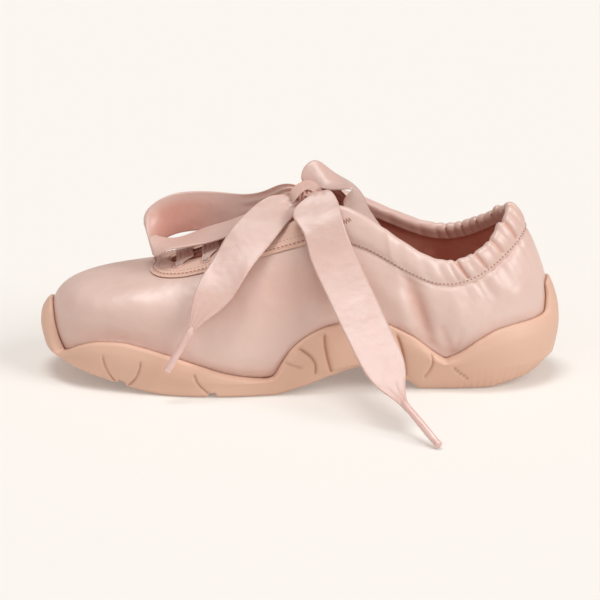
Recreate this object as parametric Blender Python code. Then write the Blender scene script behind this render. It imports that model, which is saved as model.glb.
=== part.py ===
"""Ballet sneaker, left shoe: satin upper on a cupped rubber sole, tied with a flat ribbon.

Metres, +Z up, toe at -X, lateral side at -Y, origin under the middle of the shoe
on the floor.  The tables are in millimetres.
"""
import math

import bmesh
import bpy
import numpy as np

# ---- driving dimensions, millimetres ----
LAST_LENGTH = 250.0        # feather line, toe to heel
BALL_WIDTH = 86.0          # feather line across the ball
INSTEP_HEIGHT = 85.0       # throat edge at the top of the instep
HEEL_HEIGHT = 88.0         # top of the heel with its casing
WALL = 1.8                 # satin, foam and lining together
GAP = 0.3                  # between pieces that meet
CURVE_GAP = 0.45           # between curved faces, whose flats reach a little past the curve
SOLE_GAP = 0.55            # between the rubber side and the upper
EDGE_RADIUS = 1.6          # rounding of the sole's ground edge
INSOLE_THICKNESS = 4.0
TONGUE_THICKNESS = 2.0
TONGUE_LAP = 10.0          # tongue under the throat edge
TONGUE_CROWN = 2.5
OVERLAY = 1.2              # eyestay and collar casing
CASING_HEIGHT = 12.0
CASING_TURN_IN = 6.0       # inside the collar
RIBBON_THICKNESS = 0.9
LACE_THICKNESS = 1.0
LACE_CROWN = 0.6           # middle of a lace bar over its ends
AGLET_RADIUS = 1.9

# what the tables below were drawn for; the driving sizes scale them
TABLE_LENGTH, TABLE_WIDTH, TABLE_INSTEP, TABLE_HEEL = 250.0, 86.0, 85.0, 88.0

# ---- the last: one row each 22.5 degrees, from the toe round the lateral side ----
# foot_y, foot_z: feather line; low_out, low_up: handle of the wall above it
# top_x, top_y, top_z: throat and collar edge; high_out, high_up: handle of the wall below it
LAST_COLUMNS = ("foot_y", "foot_z", "low_out", "low_up",
                "top_x", "top_y", "top_z", "high_out", "high_up")
LAST_ROWS = (
    # toe
    (5.0, 17.0, 11.0, 39.5, -66.0, 2.5, 57.5, 37.0, -8.0),
    (-20.5, 14.5, 9.5, 34.5, -62.0, -7.0, 58.5, 32.0, -8.0),
    (-33.5, 9.5, 8.5, 30.0, -46.0, -10.5, 63.5, 26.0, -7.0),
    (-41.5, 6.5, 7.0, 29.0, -22.0, -12.5, 74.0, 21.0, -7.0),
    (-37.5, 11.0, 6.0, 30.0, 3.0, -16.5, 85.0, 15.0, -12.0),
    (-32.5, 17.0, 6.0, 26.0, 32.0, -25.0, 86.4, 7.0, -22.0),
    (-32.0, 14.5, 7.0, 20.0, 66.0, -28.0, 66.6, 6.0, -18.0),
    (-22.0, 14.5, 6.0, 22.0, 93.0, -21.0, 71.2, 9.0, -20.0),
    # heel
    (0.0, 15.0, 6.0, 22.0, 107.5, 0.0, 86.2, 18.0, -22.0),
    (22.0, 14.5, 6.0, 22.0, 93.0, 21.0, 75.2, 9.0, -20.0),
    (31.5, 14.5, 6.5, 20.0, 66.0, 28.0, 69.6, 6.0, -18.0),
    (31.0, 17.0, 5.0, 26.0, 32.0, 25.0, 83.0, 7.0, -22.0),
    (34.0, 11.0, 6.0, 30.0, 3.0, 16.5, 85.0, 15.0, -12.0),
    (41.5, 6.5, 6.5, 29.0, -22.0, 13.0, 74.0, 21.0, -7.0),
    (36.5, 9.5, 8.5, 30.0, -46.0, 11.5, 63.5, 26.0, -7.0),
    (25.5, 14.5, 9.5, 34.5, -62.0, 9.5, 58.5, 32.0, -8.0),
)

# ---- the sole ----
# top edge of the rubber by angle round the shoe, how thick the side is there and how thick its lip
RUBBER_EDGE = (
    # angle, height, side thickness, lip
    (0.0, 37.5, 5.9, 0.9), (4.0, 37.0, 5.9, 0.9), (8.5, 33.5, 5.9, 1.0), (12.5, 26.5, 5.9, 1.2),
    (16.0, 19.0, 5.8, 1.6), (18.0, 16.5, 5.6, 1.8), (20.5, 17.3, 5.4, 1.8), (28.0, 22.0, 5.0, 1.8),
    (35.0, 25.3, 5.0, 1.8), (42.0, 26.0, 5.0, 1.8), (50.0, 24.0, 5.0, 1.8), (58.0, 20.5, 5.0, 1.8),
    (66.0, 16.0, 4.9, 1.8), (73.0, 11.6, 4.8, 1.8), (78.0, 9.6, 4.7, 1.8), (82.0, 8.8, 4.6, 1.8),
    (83.6, 9.8, 4.5, 1.8), (85.5, 16.5, 4.4, 1.8), (87.5, 23.5, 4.2, 1.8), (90.0, 28.5, 4.0, 1.8),
    (94.2, 33.5, 3.8, 1.8), (98.0, 36.0, 3.8, 1.8), (103.0, 37.2, 3.8, 1.8), (108.0, 37.3, 3.8, 1.8),
    (117.0, 30.0, 4.4, 1.8), (124.3, 18.8, 5.0, 1.8), (126.0, 17.2, 5.2, 1.8), (127.7, 18.4, 5.3, 1.8),
    (138.0, 27.3, 5.6, 1.8), (146.5, 32.0, 5.6, 1.8), (154.0, 33.6, 5.6, 1.8), (163.0, 34.4, 5.6, 1.7),
    (169.0, 35.5, 5.5, 1.5), (172.5, 42.0, 5.3, 1.2), (174.5, 48.5, 5.2, 1.0), (177.0, 50.0, 5.1, 0.9),
    (180.0, 50.3, 5.1, 0.9),
)
# the underside along the shoe: toe spring, ball, arch, heel, heel bevel
UNDERSIDE = (
    # x, height
    (-128.0, 13.6), (-119.0, 10.4), (-112.0, 8.6), (-103.0, 6.6), (-95.0, 4.8), (-84.0, 2.4),
    (-73.0, 0.6), (-65.0, 0.0), (-15.0, 0.0), (0.0, 3.0), (15.0, 8.0), (31.0, 12.0), (42.0, 10.5),
    (54.0, 4.5), (62.0, 0.0), (95.0, 0.0), (105.0, 2.0), (115.0, 4.2), (122.0, 6.6), (128.0, 9.0),
)
TREAD_INSET = 9.0          # inner ring of the tread, inside the ground edge
EDGE_CHAMFER = 0.6         # tread's rim inside the rounding
# how far the ground edge stands outside the feather line
GROUND_FLARE = (
    # angle, outward
    (0.0, 0.0), (22.0, 1.0), (45.0, 2.0), (70.0, 2.6), (90.0, 1.0), (112.0, -1.5),
    (135.0, -2.5), (158.0, -2.0), (180.0, -1.5),
)
# how full the side is up its height, and how much of a groove's depth it has there
SIDE_FULLNESS = ((0.0, 0.98, 1.0), (0.3, 1.0, 1.0), (0.62, 0.82, 1.0), (0.88, 0.42, 0.7))
# grooves of the side: where each meets the rubber's top edge and the ground edge
SIDE_GROOVES = (
    # top x, ground x, depth
    (-101.0, -94.5, 0.9), (-79.0, -85.5, 0.9), (-55.0, -48.0, 0.9),
    (2.0, 8.5, 0.9), (12.5, 17.0, 1.3), (49.0, 54.0, 1.3), (60.0, 66.0, 0.7),
    (75.0, 84.0, 0.9),
)
# transverse grooves of the tread, between its main lugs; some run out through the side
TREAD_GROOVES = (
    # x, half width, depth, share of the depth at the side
    (-90.0, 2.6, 1.8, 1.0), (-68.0, 1.8, 1.5, 0.0), (-44.0, 2.8, 1.8, 1.0), (-25.0, 1.8, 1.5, 0.0),
    (72.0, 1.8, 1.5, 0.0), (90.0, 1.8, 1.5, 0.0),
)
GROOVE_HALF_WIDTH = 1.6
# stations of the sole in degrees: fixed ones, and the most and least between two
PLAIN_STATIONS = (0.0, 4.0, 8.5, 12.5, 16.0, 18.0, 20.5, 86.5, 88.5, 90.5, 93.0, 131.3, 163.0,
                  169.0, 171.0, 172.5, 174.5, 177.0, 180.0)
STATION_STEP = 7.0
LEAST_STEP = 0.15
LEAN_FROM, LEAN_TO = 22.0, 160.0

# ---- the eyestay, lace and tongue ----
EYESTAY_WIDTH = ((0.0, 8.5), (15.0, 12.0), (30.0, 15.5), (45.0, 16.5), (67.0, 15.5), (90.0, 13.5),
                 (100.0, 11.0))
EYESTAY_END = 99.5
TONGUE_END = 101.0
CASING_START = 101.5
# how far the casing's rim stands up over the collar edge
CASING_RISE = (
    # angle, rise
    (101.5, 3.0), (106.0, 2.6), (112.0, 1.2), (120.0, 0.0), (180.0, 0.0),
)
INSIDE = -(WALL + CURVE_GAP)   # just inside the upper's inner face
# section of the casing, from its lower edge over the rim to the turned-in edge and back
CASING_SECTION = (
    # depth below the edge, distance outside the upper, share of the rise
    (CASING_HEIGHT, CURVE_GAP, 0.0), (CASING_HEIGHT, CURVE_GAP + 0.8, 0.0), (6.0, 2.3, 0.3),
    (1.0, 1.9, 1.0), (-1.6, 0.4, 1.0), (-1.7, -2.0, 1.0), (0.5, INSIDE - 1.4, 1.0),
    (CASING_TURN_IN, INSIDE - 1.0, 0.0), (CASING_TURN_IN, INSIDE, 0.0), (-GAP, INSIDE, 0.0),
    (-GAP, CURVE_GAP, 0.0), (6.0, CURVE_GAP, 0.0),
)
LACE_BARS = (
    # x, width, reach over the eyestay
    (-58.0, 8.5, 5.0), (-44.5, 8.5, 6.0), (-30.0, 8.5, 6.0), (-15.5, 8.5, 6.0), (2.0, 6.0, 2.0),
)

# ---- the bow: knot, loops and tails ----
KNOT = dict(centre=(2.0, -3.5, 94.0), radii=(6.4, 6.0, 5.6))
# rows of a ribbon: its centre line and half its width, x y z each
FRONT_LOOP = (
    (-4.9, -1.5, 95.5, 0.0, 1.0, 3.6),
    (-15.0, 5.5, 88.7, -0.5, 0.5, 6.0),
    (-29.0, 14.0, 82.2, 0.0, 0.5, 7.4),
    (-41.0, 18.0, 80.6, 0.0, 0.3, 9.0),
    (-52.0, 17.5, 80.0, 0.0, 0.2, 10.2),
    (-63.5, 14.0, 79.4, 0.0, 0.3, 10.6),
    (-72.5, 9.0, 76.6, 0.0, 3.2, 10.1),
    (-77.2, 2.5, 73.0, -2.0, 7.8, 7.2),
    (-75.0, -4.2, 68.8, -2.2, 9.9, 3.6),
    (-69.5, -5.4, 68.6, -0.6, 10.5, 0.6),
    (-62.0, -4.8, 69.3, 0.0, 10.4, -0.4),
    (-49.0, -2.6, 72.2, 0.0, 10.3, 1.0),
    (-35.0, -3.0, 76.8, 0.0, 8.6, 1.4),
    (-20.0, -3.0, 85.1, -0.6, 6.0, 0.4),
    (-4.9, -3.5, 91.6, -0.6, 3.0, 0.2),
)
REAR_LOOP = (
    (4.9, -0.4, 100.4, -3.2, 3.4, 3.4),
    (6.4, 0.7, 102.4, -3.4, 5.4, 4.4),
    (9.8, 0.5, 103.5, -2.6, 6.9, 5.6),
    (14.9, -1.3, 102.0, -1.2, 8.2, 3.7),
    (21.0, -4.0, 100.5, -0.4, 9.2, 0.7),
    (26.6, -5.5, 98.3, 0.8, 9.5, -1.2),
    (26.9, -6.1, 94.3, 4.2, 8.5, -0.9),
    (28.8, -7.3, 87.3, 5.2, 7.6, 0.2),
    (33.4, -8.5, 79.9, 5.2, 7.6, 0.2),
    (38.0, -9.3, 72.3, 5.0, 7.2, -0.3),
    (38.6, -7.4, 66.8, 3.8, 6.4, -0.9),
    (35.0, -3.1, 66.8, 2.4, 5.0, -0.7),
    (29.8, 1.1, 75.4, 1.6, 4.2, 0.0),
    (24.2, 2.4, 86.6, 1.0, 3.1, 1.3),
    (18.6, 0.4, 92.1, 0.4, 2.0, 1.9),
    (9.6, -4.3, 93.2, 0.2, 1.1, 1.6),
)
FRONT_TAIL = (
    (-2.6, -7.6, 92.2, 2.6, -1.7, -3.2),
    (-9.5, -12.6, 89.9, 4.8, -3.2, -5.2),
    (-17.0, -18.0, 85.0, 6.8, -4.6, -5.2),
    (-26.0, -25.0, 76.6, 8.4, -5.0, -4.2),
    (-34.5, -34.0, 66.0, 8.6, -5.4, -2.2),
    (-42.5, -43.0, 55.0, 8.0, -3.0, -3.4),
    (-48.5, -48.5, 46.5, 5.2, -1.4, -2.2),
    (-54.0, -51.5, 38.0, 1.8, -0.3, -0.7),
)
FRONT_AGLET = ((-54.2, -51.8, 37.6), (-66.5, -54.0, 16.5))
REAR_TAIL = (
    (6.2, -9.5, 95.6, 3.2, 0.4, 0.9),
    (9.2, -12.4, 97.0, 4.8, 0.6, 1.3),
    (8.2, -17.4, 94.6, 9.4, 0.7, 2.0),
    (10.6, -30.0, 87.0, 9.9, 1.6, 2.8),
    (15.0, -36.5, 75.0, 10.2, 2.6, 2.8),
    (20.5, -45.0, 64.0, 10.3, 3.0, 2.8),
    (28.5, -58.5, 50.0, 10.3, 3.0, 2.8),
    (37.0, -74.5, 36.0, 9.8, 3.4, 3.2),
    (44.5, -90.0, 24.5, 7.2, 3.6, 2.8),
    (50.5, -101.5, 16.0, 1.8, 0.9, 0.6),
)
REAR_AGLET = ((50.7, -101.9, 15.7), (67.0, -124.0, 2.0))

# ---- colours ----
SATIN = (0.83, 0.64, 0.56)
RUBBER = (0.70, 0.42, 0.30)
LINING = (0.60, 0.34, 0.27)
MATTE_CLOTH = (0.72, 0.56, 0.48)
RIBBON = (0.82, 0.60, 0.53)


def curve_through(knots, rows, query):
    """Natural cubic through the rows at their knots, worked out column by column."""
    knots = np.asarray(knots, float)
    rows = np.asarray(rows, float)
    count = len(knots)
    step = np.diff(knots)
    slopes = np.diff(rows, axis=0) / step[:, None]
    system = np.eye(count)
    right = np.zeros_like(rows)
    for i in range(1, count - 1):
        system[i, i - 1:i + 2] = step[i - 1], 2.0 * (step[i - 1] + step[i]), step[i]
        right[i] = 6.0 * (slopes[i] - slopes[i - 1])
    bend = np.linalg.solve(system, right)
    query = np.asarray(query, float)
    i = np.clip(np.searchsorted(knots, query, side="right") - 1, 0, count - 2)
    h = step[i][:, None]
    b = (query - knots[i])[:, None] / h
    a = 1.0 - b
    return (a * rows[i] + b * rows[i + 1]
            + ((a ** 3 - a) * bend[i] + (b ** 3 - b) * bend[i + 1]) * h * h / 6.0)


def smooth_table(table, query, column=1):
    """A table read along its first column by cubics that never overshoot its rows."""
    table = np.asarray(table, float)
    x, y = table[:, 0], table[:, column]
    step, slope = np.diff(x), np.diff(y) / np.diff(x)
    tangent = np.zeros(len(x))
    same = slope[:-1] * slope[1:] > 0
    w1, w2 = 2 * step[1:] + step[:-1], step[1:] + 2 * step[:-1]
    safe = np.where(same, slope[:-1], 1.0), np.where(same, slope[1:], 1.0)
    tangent[1:-1] = np.where(same, (w1 + w2) / (w1 / safe[0] + w2 / safe[1]), 0.0)
    query = np.clip(np.asarray(query, float), x[0], x[-1])
    i = np.clip(np.searchsorted(x, query, side="right") - 1, 0, len(x) - 2)
    t = (query - x[i]) / step[i]
    return (y[i] * (1 + 2 * t) * (1 - t) ** 2 + y[i + 1] * t * t * (3 - 2 * t)
            + step[i] * t * (1 - t) * (tangent[i] * (1 - t) - tangent[i + 1] * t))


def last_columns(angle):
    """The last's row at any angle: a closed cubic through the sixteen rows."""
    turn = np.mod(np.asarray(angle, float), 360.0)
    step = 360.0 / len(LAST_ROWS)
    wrapped = np.array(LAST_ROWS[-4:] + LAST_ROWS + LAST_ROWS[:5])
    knots = (np.arange(len(wrapped)) - 4) * step
    rows = curve_through(knots, wrapped, turn.ravel())
    return {name: rows[:, i].reshape(turn.shape) for i, name in enumerate(LAST_COLUMNS)}


def feather_line(angle):
    """Feather line of the last and its outward direction in plan."""
    def place(degrees):
        row = last_columns(degrees)
        x = -0.5 * LAST_LENGTH * np.cos(np.radians(degrees))
        y = row["foot_y"] * BALL_WIDTH / TABLE_WIDTH
        return np.stack([x, y, row["foot_z"]], axis=-1)
    angle = np.asarray(angle, float)
    along = place(angle + 0.5) - place(angle - 0.5)
    outward = np.stack([along[..., 1], -along[..., 0], 0 * along[..., 2]], axis=-1)
    outward /= np.linalg.norm(outward, axis=-1, keepdims=True)
    return place(angle), outward


def upper_point(angle, rise):
    """Outer face of the upper: rise 0 on the feather line, 1 on the throat and collar edge."""
    angle, rise = np.broadcast_arrays(np.asarray(angle, float), np.asarray(rise, float))
    row = last_columns(angle)
    foot, outward = feather_line(angle)
    up = np.array([0.0, 0.0, 1.0])
    share = np.clip((row["top_x"] - 40.0) / 60.0, 0.0, 1.0)
    height = (1 - share) * INSTEP_HEIGHT / TABLE_INSTEP + share * HEEL_HEIGHT / TABLE_HEEL
    edge = np.stack([row["top_x"] * LAST_LENGTH / TABLE_LENGTH,
                     row["top_y"] * BALL_WIDTH / TABLE_WIDTH,
                     row["top_z"] * height], axis=-1)
    low = foot + outward * row["low_out"][..., None] + up * row["low_up"][..., None]
    high = edge + outward * row["high_out"][..., None] + up * row["high_up"][..., None]
    t = rise[..., None]
    s = 1.0 - t
    return s ** 3 * foot + 3 * s * s * t * low + 3 * s * t * t * high + t ** 3 * edge


def upper_normal(angle, rise):
    """Outward normal of the upper, from its two tangents."""
    angle, rise = np.broadcast_arrays(np.asarray(angle, float), np.asarray(rise, float))
    low, high = np.clip(rise - 0.01, 0, 1), np.clip(rise + 0.01, 0, 1)
    along = upper_point(angle + 0.5, rise) - upper_point(angle - 0.5, rise)
    upward = upper_point(angle, high) - upper_point(angle, low)
    normal = np.cross(along, upward)
    return normal / np.linalg.norm(normal, axis=-1, keepdims=True)


def off_upper(angle, rise, distance):
    """A point that stands a distance outside the upper's outer face."""
    distance = np.asarray(distance, float)[..., None]
    return upper_point(angle, rise) + upper_normal(angle, rise) * distance


def rise_below_edge(angle, depth):
    """Rise of the point that lies a depth below the top edge, along the upper."""
    samples = np.linspace(0.0, 1.0, 61)
    angle, depth = np.broadcast_arrays(np.asarray(angle, float), np.asarray(depth, float))
    found = []
    for one, below in zip(angle.ravel(), depth.ravel()):
        line = upper_point(one, samples)
        length = np.concatenate([[0.0], np.cumsum(np.linalg.norm(np.diff(line, axis=0), axis=1))])
        found.append(np.interp(length[-1] - below, length, samples))
    return np.array(found).reshape(angle.shape)


def rise_at_height(angle, height):
    """Rise of the point of the upper that has this height above the floor."""
    samples = np.linspace(0.0, 0.9, 91)
    angle, height = np.broadcast_arrays(np.asarray(angle, float), np.asarray(height, float))
    found = [np.interp(z, upper_point(one, samples)[:, 2], samples)
             for one, z in zip(angle.ravel(), height.ravel())]
    return np.array(found).reshape(angle.shape)


def fold_angle(angle):
    """Angle from the toe, 0 to 180, on either side."""
    return 180.0 - np.abs(180.0 - np.mod(angle, 360.0))


def grid_faces(rows, columns, closed=False):
    """Quads of a grid kept row by row; closed joins the last column to the first."""
    span = columns if closed else columns - 1
    return [(r * columns + c, r * columns + (c + 1) % columns,
             (r + 1) * columns + (c + 1) % columns, (r + 1) * columns + c)
            for r in range(rows - 1) for c in range(span)]


def thicken(outer, inner, faces):
    """A solid between two faces that share one net: both skins and the edge between them."""
    count = len(outer)
    edges = [edge for face in faces for edge in zip(face, face[1:] + face[:1])]
    both = set(edges)
    rim = [(b, a, a + count, b + count) for a, b in edges if (b, a) not in both]
    back = [tuple(i + count for i in reversed(face)) for face in faces]
    return np.concatenate([outer, inner]), list(faces) + back + rim


def ladder(ring, across):
    """Rungs from each lateral point of a ring to the medial one; returns new points and faces.

    The ring starts at the toe and passes the heel half way round.
    """
    count = len(ring)
    half = count // 2
    points, rungs = [], [[0]]
    for i in range(1, half):
        a, b = ring[i], ring[count - i]
        rung = [i]
        for k in range(1, across):
            points.append(a + (b - a) * k / across)
            rung.append(count + len(points) - 1)
        rung.append(count - i)
        rungs.append(rung)
    rungs.append([half])
    faces = []
    for low, high in zip(rungs, rungs[1:]):
        if len(low) == 1:
            faces += [(low[0], high[k], high[k + 1]) for k in range(across)]
        elif len(high) == 1:
            faces += [(low[k], high[0], low[k + 1]) for k in range(across)]
        else:
            faces += [(low[k], high[k], high[k + 1], low[k + 1]) for k in range(across)]
    return np.array(points), faces


def closed_hull(rings, across):
    """A solid from a stack of rings, closed below and above by ladders."""
    count = len(rings[0])
    points = [np.concatenate(rings)]
    faces = grid_faces(len(rings), count, closed=True)
    total = len(points[0])
    for level in (0, len(rings) - 1):
        new, cap = ladder(rings[level], across)
        base = level * count
        for face in cap:
            faces.append(tuple(base + i if i < count else total + i - count for i in face))
        points.append(new)
        total += len(new)
    return np.concatenate(points), faces


def sweep(sections):
    """A solid from closed sections along a path, with a flat cap at each end."""
    steps, count = sections.shape[:2]
    faces = grid_faces(steps, count, closed=True)
    faces.append(tuple(range(count)))
    faces.append(tuple(reversed(range((steps - 1) * count, steps * count))))
    return sections.reshape(-1, 3), faces


def make_material(name, colour, roughness, metallic=0.0):
    material = bpy.data.materials.new(name)
    material.use_nodes = True
    shader = material.node_tree.nodes["Principled BSDF"]
    shader.inputs["Base Color"].default_value = (*colour, 1.0)
    shader.inputs["Roughness"].default_value = roughness
    shader.inputs["Metallic"].default_value = metallic
    material.diffuse_color = (*colour, 1.0)
    return material


def make_piece(name, points, faces, material):
    """A named object from points in millimetres; its faces are turned outwards."""
    mesh = bpy.data.meshes.new(name)
    work = bmesh.new()
    corners = [work.verts.new(np.asarray(point, float) * 0.001) for point in points]
    for face in faces:
        work.faces.new([corners[i] for i in face])
    bmesh.ops.recalc_face_normals(work, faces=work.faces)
    work.to_mesh(mesh)
    work.free()
    mesh.shade_smooth()
    mesh.materials.append(material)
    piece = bpy.data.objects.new(name, mesh)
    bpy.context.collection.objects.link(piece)
    return piece


def build_upper(material):
    """Hollow upper: outer face and inner face a wall apart, open below, at throat and collar."""
    angles = np.linspace(0.0, 360.0, 76, endpoint=False)
    rises = np.array([0.0, 0.07, 0.16, 0.28, 0.42, 0.58, 0.72, 0.84, 0.93, 1.0])
    angle, rise = np.meshgrid(angles, rises)
    outer = upper_point(angle, rise).reshape(-1, 3)
    inner = off_upper(angle, rise, np.full(angle.shape, -WALL)).reshape(-1, 3)
    faces = grid_faces(len(rises), len(angles), closed=True)
    return make_piece("upper", *thicken(outer, inner, faces), material)


def angle_at(x):
    """Angle of the station that stands at this place along the feather line."""
    return math.degrees(math.acos(-2.0 * x / LAST_LENGTH))


def sole_stations():
    """Stations of one side: angle at the top edge and the ground, depth of groove, tread and rim."""
    marks = [(angle, 0.0, 0.0, 0.0) for angle in PLAIN_STATIONS]
    for top_x, ground_x, depth in SIDE_GROOVES:
        for shift, share in ((-GROOVE_HALF_WIDTH, 0.0), (0.0, 1.0), (GROOVE_HALF_WIDTH, 0.0)):
            marks.append((angle_at(ground_x + shift), depth * share, 0.0, 0.0))
    for x, half_width, depth, at_side in TREAD_GROOVES:
        for shift, share in ((-1.0, 0.0), (-0.75, 1.0), (0.75, 1.0), (1.0, 0.0)):
            cut = depth * share
            marks.append((angle_at(x + half_width * shift), 0.0, cut, cut * at_side))
    marks.sort()
    stations = [marks[0]]
    for mark in marks[1:]:
        last = stations[-1][0]
        if mark[0] - last < LEAST_STEP:
            continue
        extra = int((mark[0] - last) // STATION_STEP)
        stations += [(last + (mark[0] - last) * k / (extra + 1), 0.0, 0.0, 0.0)
                     for k in range(1, extra + 1)]
        stations.append(mark)
    ground, groove, tread, rim = np.array(stations).T
    # the grooves lean, and what stands between them leans with them
    lean = [(0.0, 0.0), (LEAN_FROM, 0.0)]
    lean += [(angle_at(ground_x), angle_at(top_x) - angle_at(ground_x))
             for top_x, ground_x, depth in SIDE_GROOVES]
    lean += [(LEAN_TO, 0.0), (180.0, 0.0)]
    return np.stack([ground + smooth_table(lean, ground), ground, groove, tread, rim], axis=1)


def build_sole(material):
    """Cupped outsole: lugged underside, side wall with its waved edge, and the tray inside."""
    side = sole_stations()
    mirrored = side[-2:0:-1].copy()
    mirrored[:, :2] = 360.0 - mirrored[:, :2]
    stations = np.concatenate([side, mirrored])
    top, ground, groove, tread, rim = stations.T
    top_height = smooth_table(RUBBER_EDGE, fold_angle(top))
    thick = smooth_table(RUBBER_EDGE, fold_angle(top), column=2)
    lip = smooth_table(RUBBER_EDGE, fold_angle(top), column=3)
    top_rise = rise_at_height(top, top_height)

    def level(place, depth):
        place = place.copy()
        place[:, 2] = smooth_table(UNDERSIDE, place[:, 0]) + depth
        return place

    foot, outward = feather_line(ground)
    flare = smooth_table(GROUND_FLARE, fold_angle(ground))[:, None]
    rings = [level(foot + outward * (flare - TREAD_INSET), tread),
             level(foot + outward * (flare - EDGE_RADIUS - EDGE_CHAMFER), rim),
             level(foot + outward * (flare + 0.5 * thick[:, None]), rim + EDGE_RADIUS)]
    # side wall from the feather line to the lip, leaning with the grooves
    for share, fullness, depth in SIDE_FULLNESS:
        angle = ground + (top - ground) * (0.25 + 0.75 * share)
        distance = GAP + lip + (thick - lip) * fullness - groove * depth
        rings.append(off_upper(angle, top_rise * share, distance))
    rings.append(off_upper(top, top_rise * 0.985, SOLE_GAP + lip * 0.7))
    rings.append(off_upper(top, top_rise, np.full(top.shape, SOLE_GAP)))
    for share in (0.66, 0.33, 0.0):
        rings.append(off_upper(top, top_rise * share, np.full(top.shape, SOLE_GAP)))
    floor = rings[-1].copy()
    floor[:, 2] = feather_line(top)[0][:, 2] - GAP
    rings[-1] = floor
    return make_piece("sole", *closed_hull(rings, 4), material)


def build_insole(material):
    """Insole board and sock as one plate inside the upper."""
    angles = np.linspace(0.0, 360.0, 48, endpoint=False)
    inset = np.full(angles.shape, -(WALL + CURVE_GAP))
    base = off_upper(angles, np.zeros(angles.shape), inset)
    height = feather_line(angles)[0][:, 2]
    base[:, 2] = height
    rings = [base]
    for share in (0.5, 1.0):
        rise = rise_at_height(angles, height + INSOLE_THICKNESS * share)
        ring = off_upper(angles, rise, inset)
        ring[:, 2] = height + INSOLE_THICKNESS * share
        rings.append(ring)
    return make_piece("insole", *closed_hull(rings, 3), material)


def throat_lines(end, steps):
    """Angles along the throat edge from the toe end to a last angle, on both sides."""
    side = np.linspace(0.0, end, steps)
    return side, np.concatenate([side, -side[:0:-1]])


def build_tongue(material):
    """Tongue: under the throat edge all round, and crowned across the throat."""
    side, ring_angles = throat_lines(TONGUE_END, 15)
    steps, count = len(side), len(ring_angles)
    lap = np.array([1.0, 0.5, 0.0])
    crown = TONGUE_CROWN * np.sin(np.linspace(0.0, 1.0, steps) * math.pi / 2)

    def skin(distance):
        rows = []
        for share in lap:
            rise = rise_below_edge(ring_angles, TONGUE_LAP * share)
            rows.append(off_upper(ring_angles, rise, np.full(ring_angles.shape, distance)))
        edge = rows[-1]
        points = []
        for i in range(1, steps):
            a, b = edge[i], edge[count - i]
            for k in (1, 2, 3):
                share = k / 4
                lift = crown[i] * 4 * share * (1 - share)
                points.append(a + (b - a) * share + np.array([0.0, 0.0, lift]))
        return np.concatenate(rows + [np.array(points)])

    faces = []
    # the lap runs from the last medial station through the toe to the last lateral one
    medial = [count - i for i in range(steps - 1, 0, -1)]
    path = medial + list(range(steps))
    for r in range(2):
        for a, b in zip(path, path[1:]):
            faces.append((r * count + a, r * count + b, (r + 1) * count + b, (r + 1) * count + a))
    edge_row = 2 * count
    rungs = [[edge_row]]
    for i in range(1, steps):
        inside = [3 * count + (i - 1) * 3 + k for k in range(3)]
        rungs.append([edge_row + i] + inside + [edge_row + count - i])
    faces += [(rungs[0][0], rungs[1][k], rungs[1][k + 1]) for k in range(4)]
    for low, high in zip(rungs[1:], rungs[2:]):
        faces += [(low[k], high[k], high[k + 1], low[k + 1]) for k in range(4)]
    outer = skin(-(WALL + CURVE_GAP))
    inner = skin(-(WALL + CURVE_GAP + TONGUE_THICKNESS))
    return make_piece("tongue", *thicken(outer, inner, faces), material)


def build_eyestay(material):
    """Eyestay: a band round the throat, cut between two forms outside the upper."""
    side, _ = throat_lines(EYESTAY_END, 20)
    angles = np.concatenate([-side[:0:-1], side])
    width = smooth_table(EYESTAY_WIDTH, np.abs(angles))
    rows = np.array([1.0, 0.66, 0.33, 0.0])
    rise = np.stack([rise_below_edge(angles, width * share) for share in rows])
    angle = np.broadcast_to(angles, rise.shape)
    skins = [off_upper(angle, rise, np.full(rise.shape, distance)).reshape(-1, 3)
             for distance in (CURVE_GAP + OVERLAY, CURVE_GAP)]
    return make_piece("eyestay", *thicken(*skins, grid_faces(len(rows), len(angles))), material)


def build_casing(material):
    """Collar casing: a channel turned over the collar edge, round the heel."""
    angles = np.linspace(CASING_START, 360.0 - CASING_START, 37)
    rise = smooth_table(CASING_RISE, fold_angle(angles))
    edge = upper_point(angles, 1.0)
    below = upper_point(angles, 0.97)
    beyond = (edge - below) / np.linalg.norm(edge - below, axis=1)[:, None]
    columns = []
    for depth, distance, share in CASING_SECTION:
        down = depth - rise * share
        station = rise_below_edge(angles, np.maximum(down, 0.0))
        columns.append(off_upper(angles, station, np.full(angles.shape, distance))
                       + beyond * np.maximum(-down, 0.0)[:, None])
    return make_piece("collar_casing", *sweep(np.stack(columns, axis=1)), material)


def build_lace(material):
    """Lace bars over the throat, joined by the runs between them into one flat solid."""
    samples = np.linspace(0.0, 100.0, 201)
    edge_x = upper_point(samples, 1.0)[:, 0]
    clear = CURVE_GAP + OVERLAY + GAP
    stops = (0.0, 0.12, 0.4, 0.6, 0.88, 1.0)
    lines = []
    for bar_x, width, reach in LACE_BARS:
        for shift in (-0.5, 0.5):
            angle = np.interp(bar_x + shift * width, edge_x, samples)
            ends = []
            for side in (angle, -angle):
                rise = rise_below_edge(side, reach)
                ends.append(off_upper(side, rise, clear))
                ends.append(off_upper(side, 1.0, clear))
            across = [ends[1] + (ends[3] - ends[1]) * share
                      + np.array([0.0, 0.0, 4 * LACE_CROWN * share * (1 - share)]) for share in stops]
            lines.append([ends[0]] + across + [ends[2]])
    lines = np.array(lines)
    count = lines.shape[1]
    faces = []
    for bar in range(len(LACE_BARS)):
        low, high = 2 * bar * count, (2 * bar + 1) * count
        faces += [(low + k, low + k + 1, high + k + 1, high + k) for k in range(count - 1)]
        if bar + 1 < len(LACE_BARS):
            after = high + count
            faces.append((high + 4, high + 5, after + 3, after + 2))
    flat = lines.reshape(-1, 3)
    lifted = flat + np.array([0.0, 0.0, LACE_THICKNESS])
    return make_piece("lace_bars", *thicken(flat, lifted, faces), material)


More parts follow.
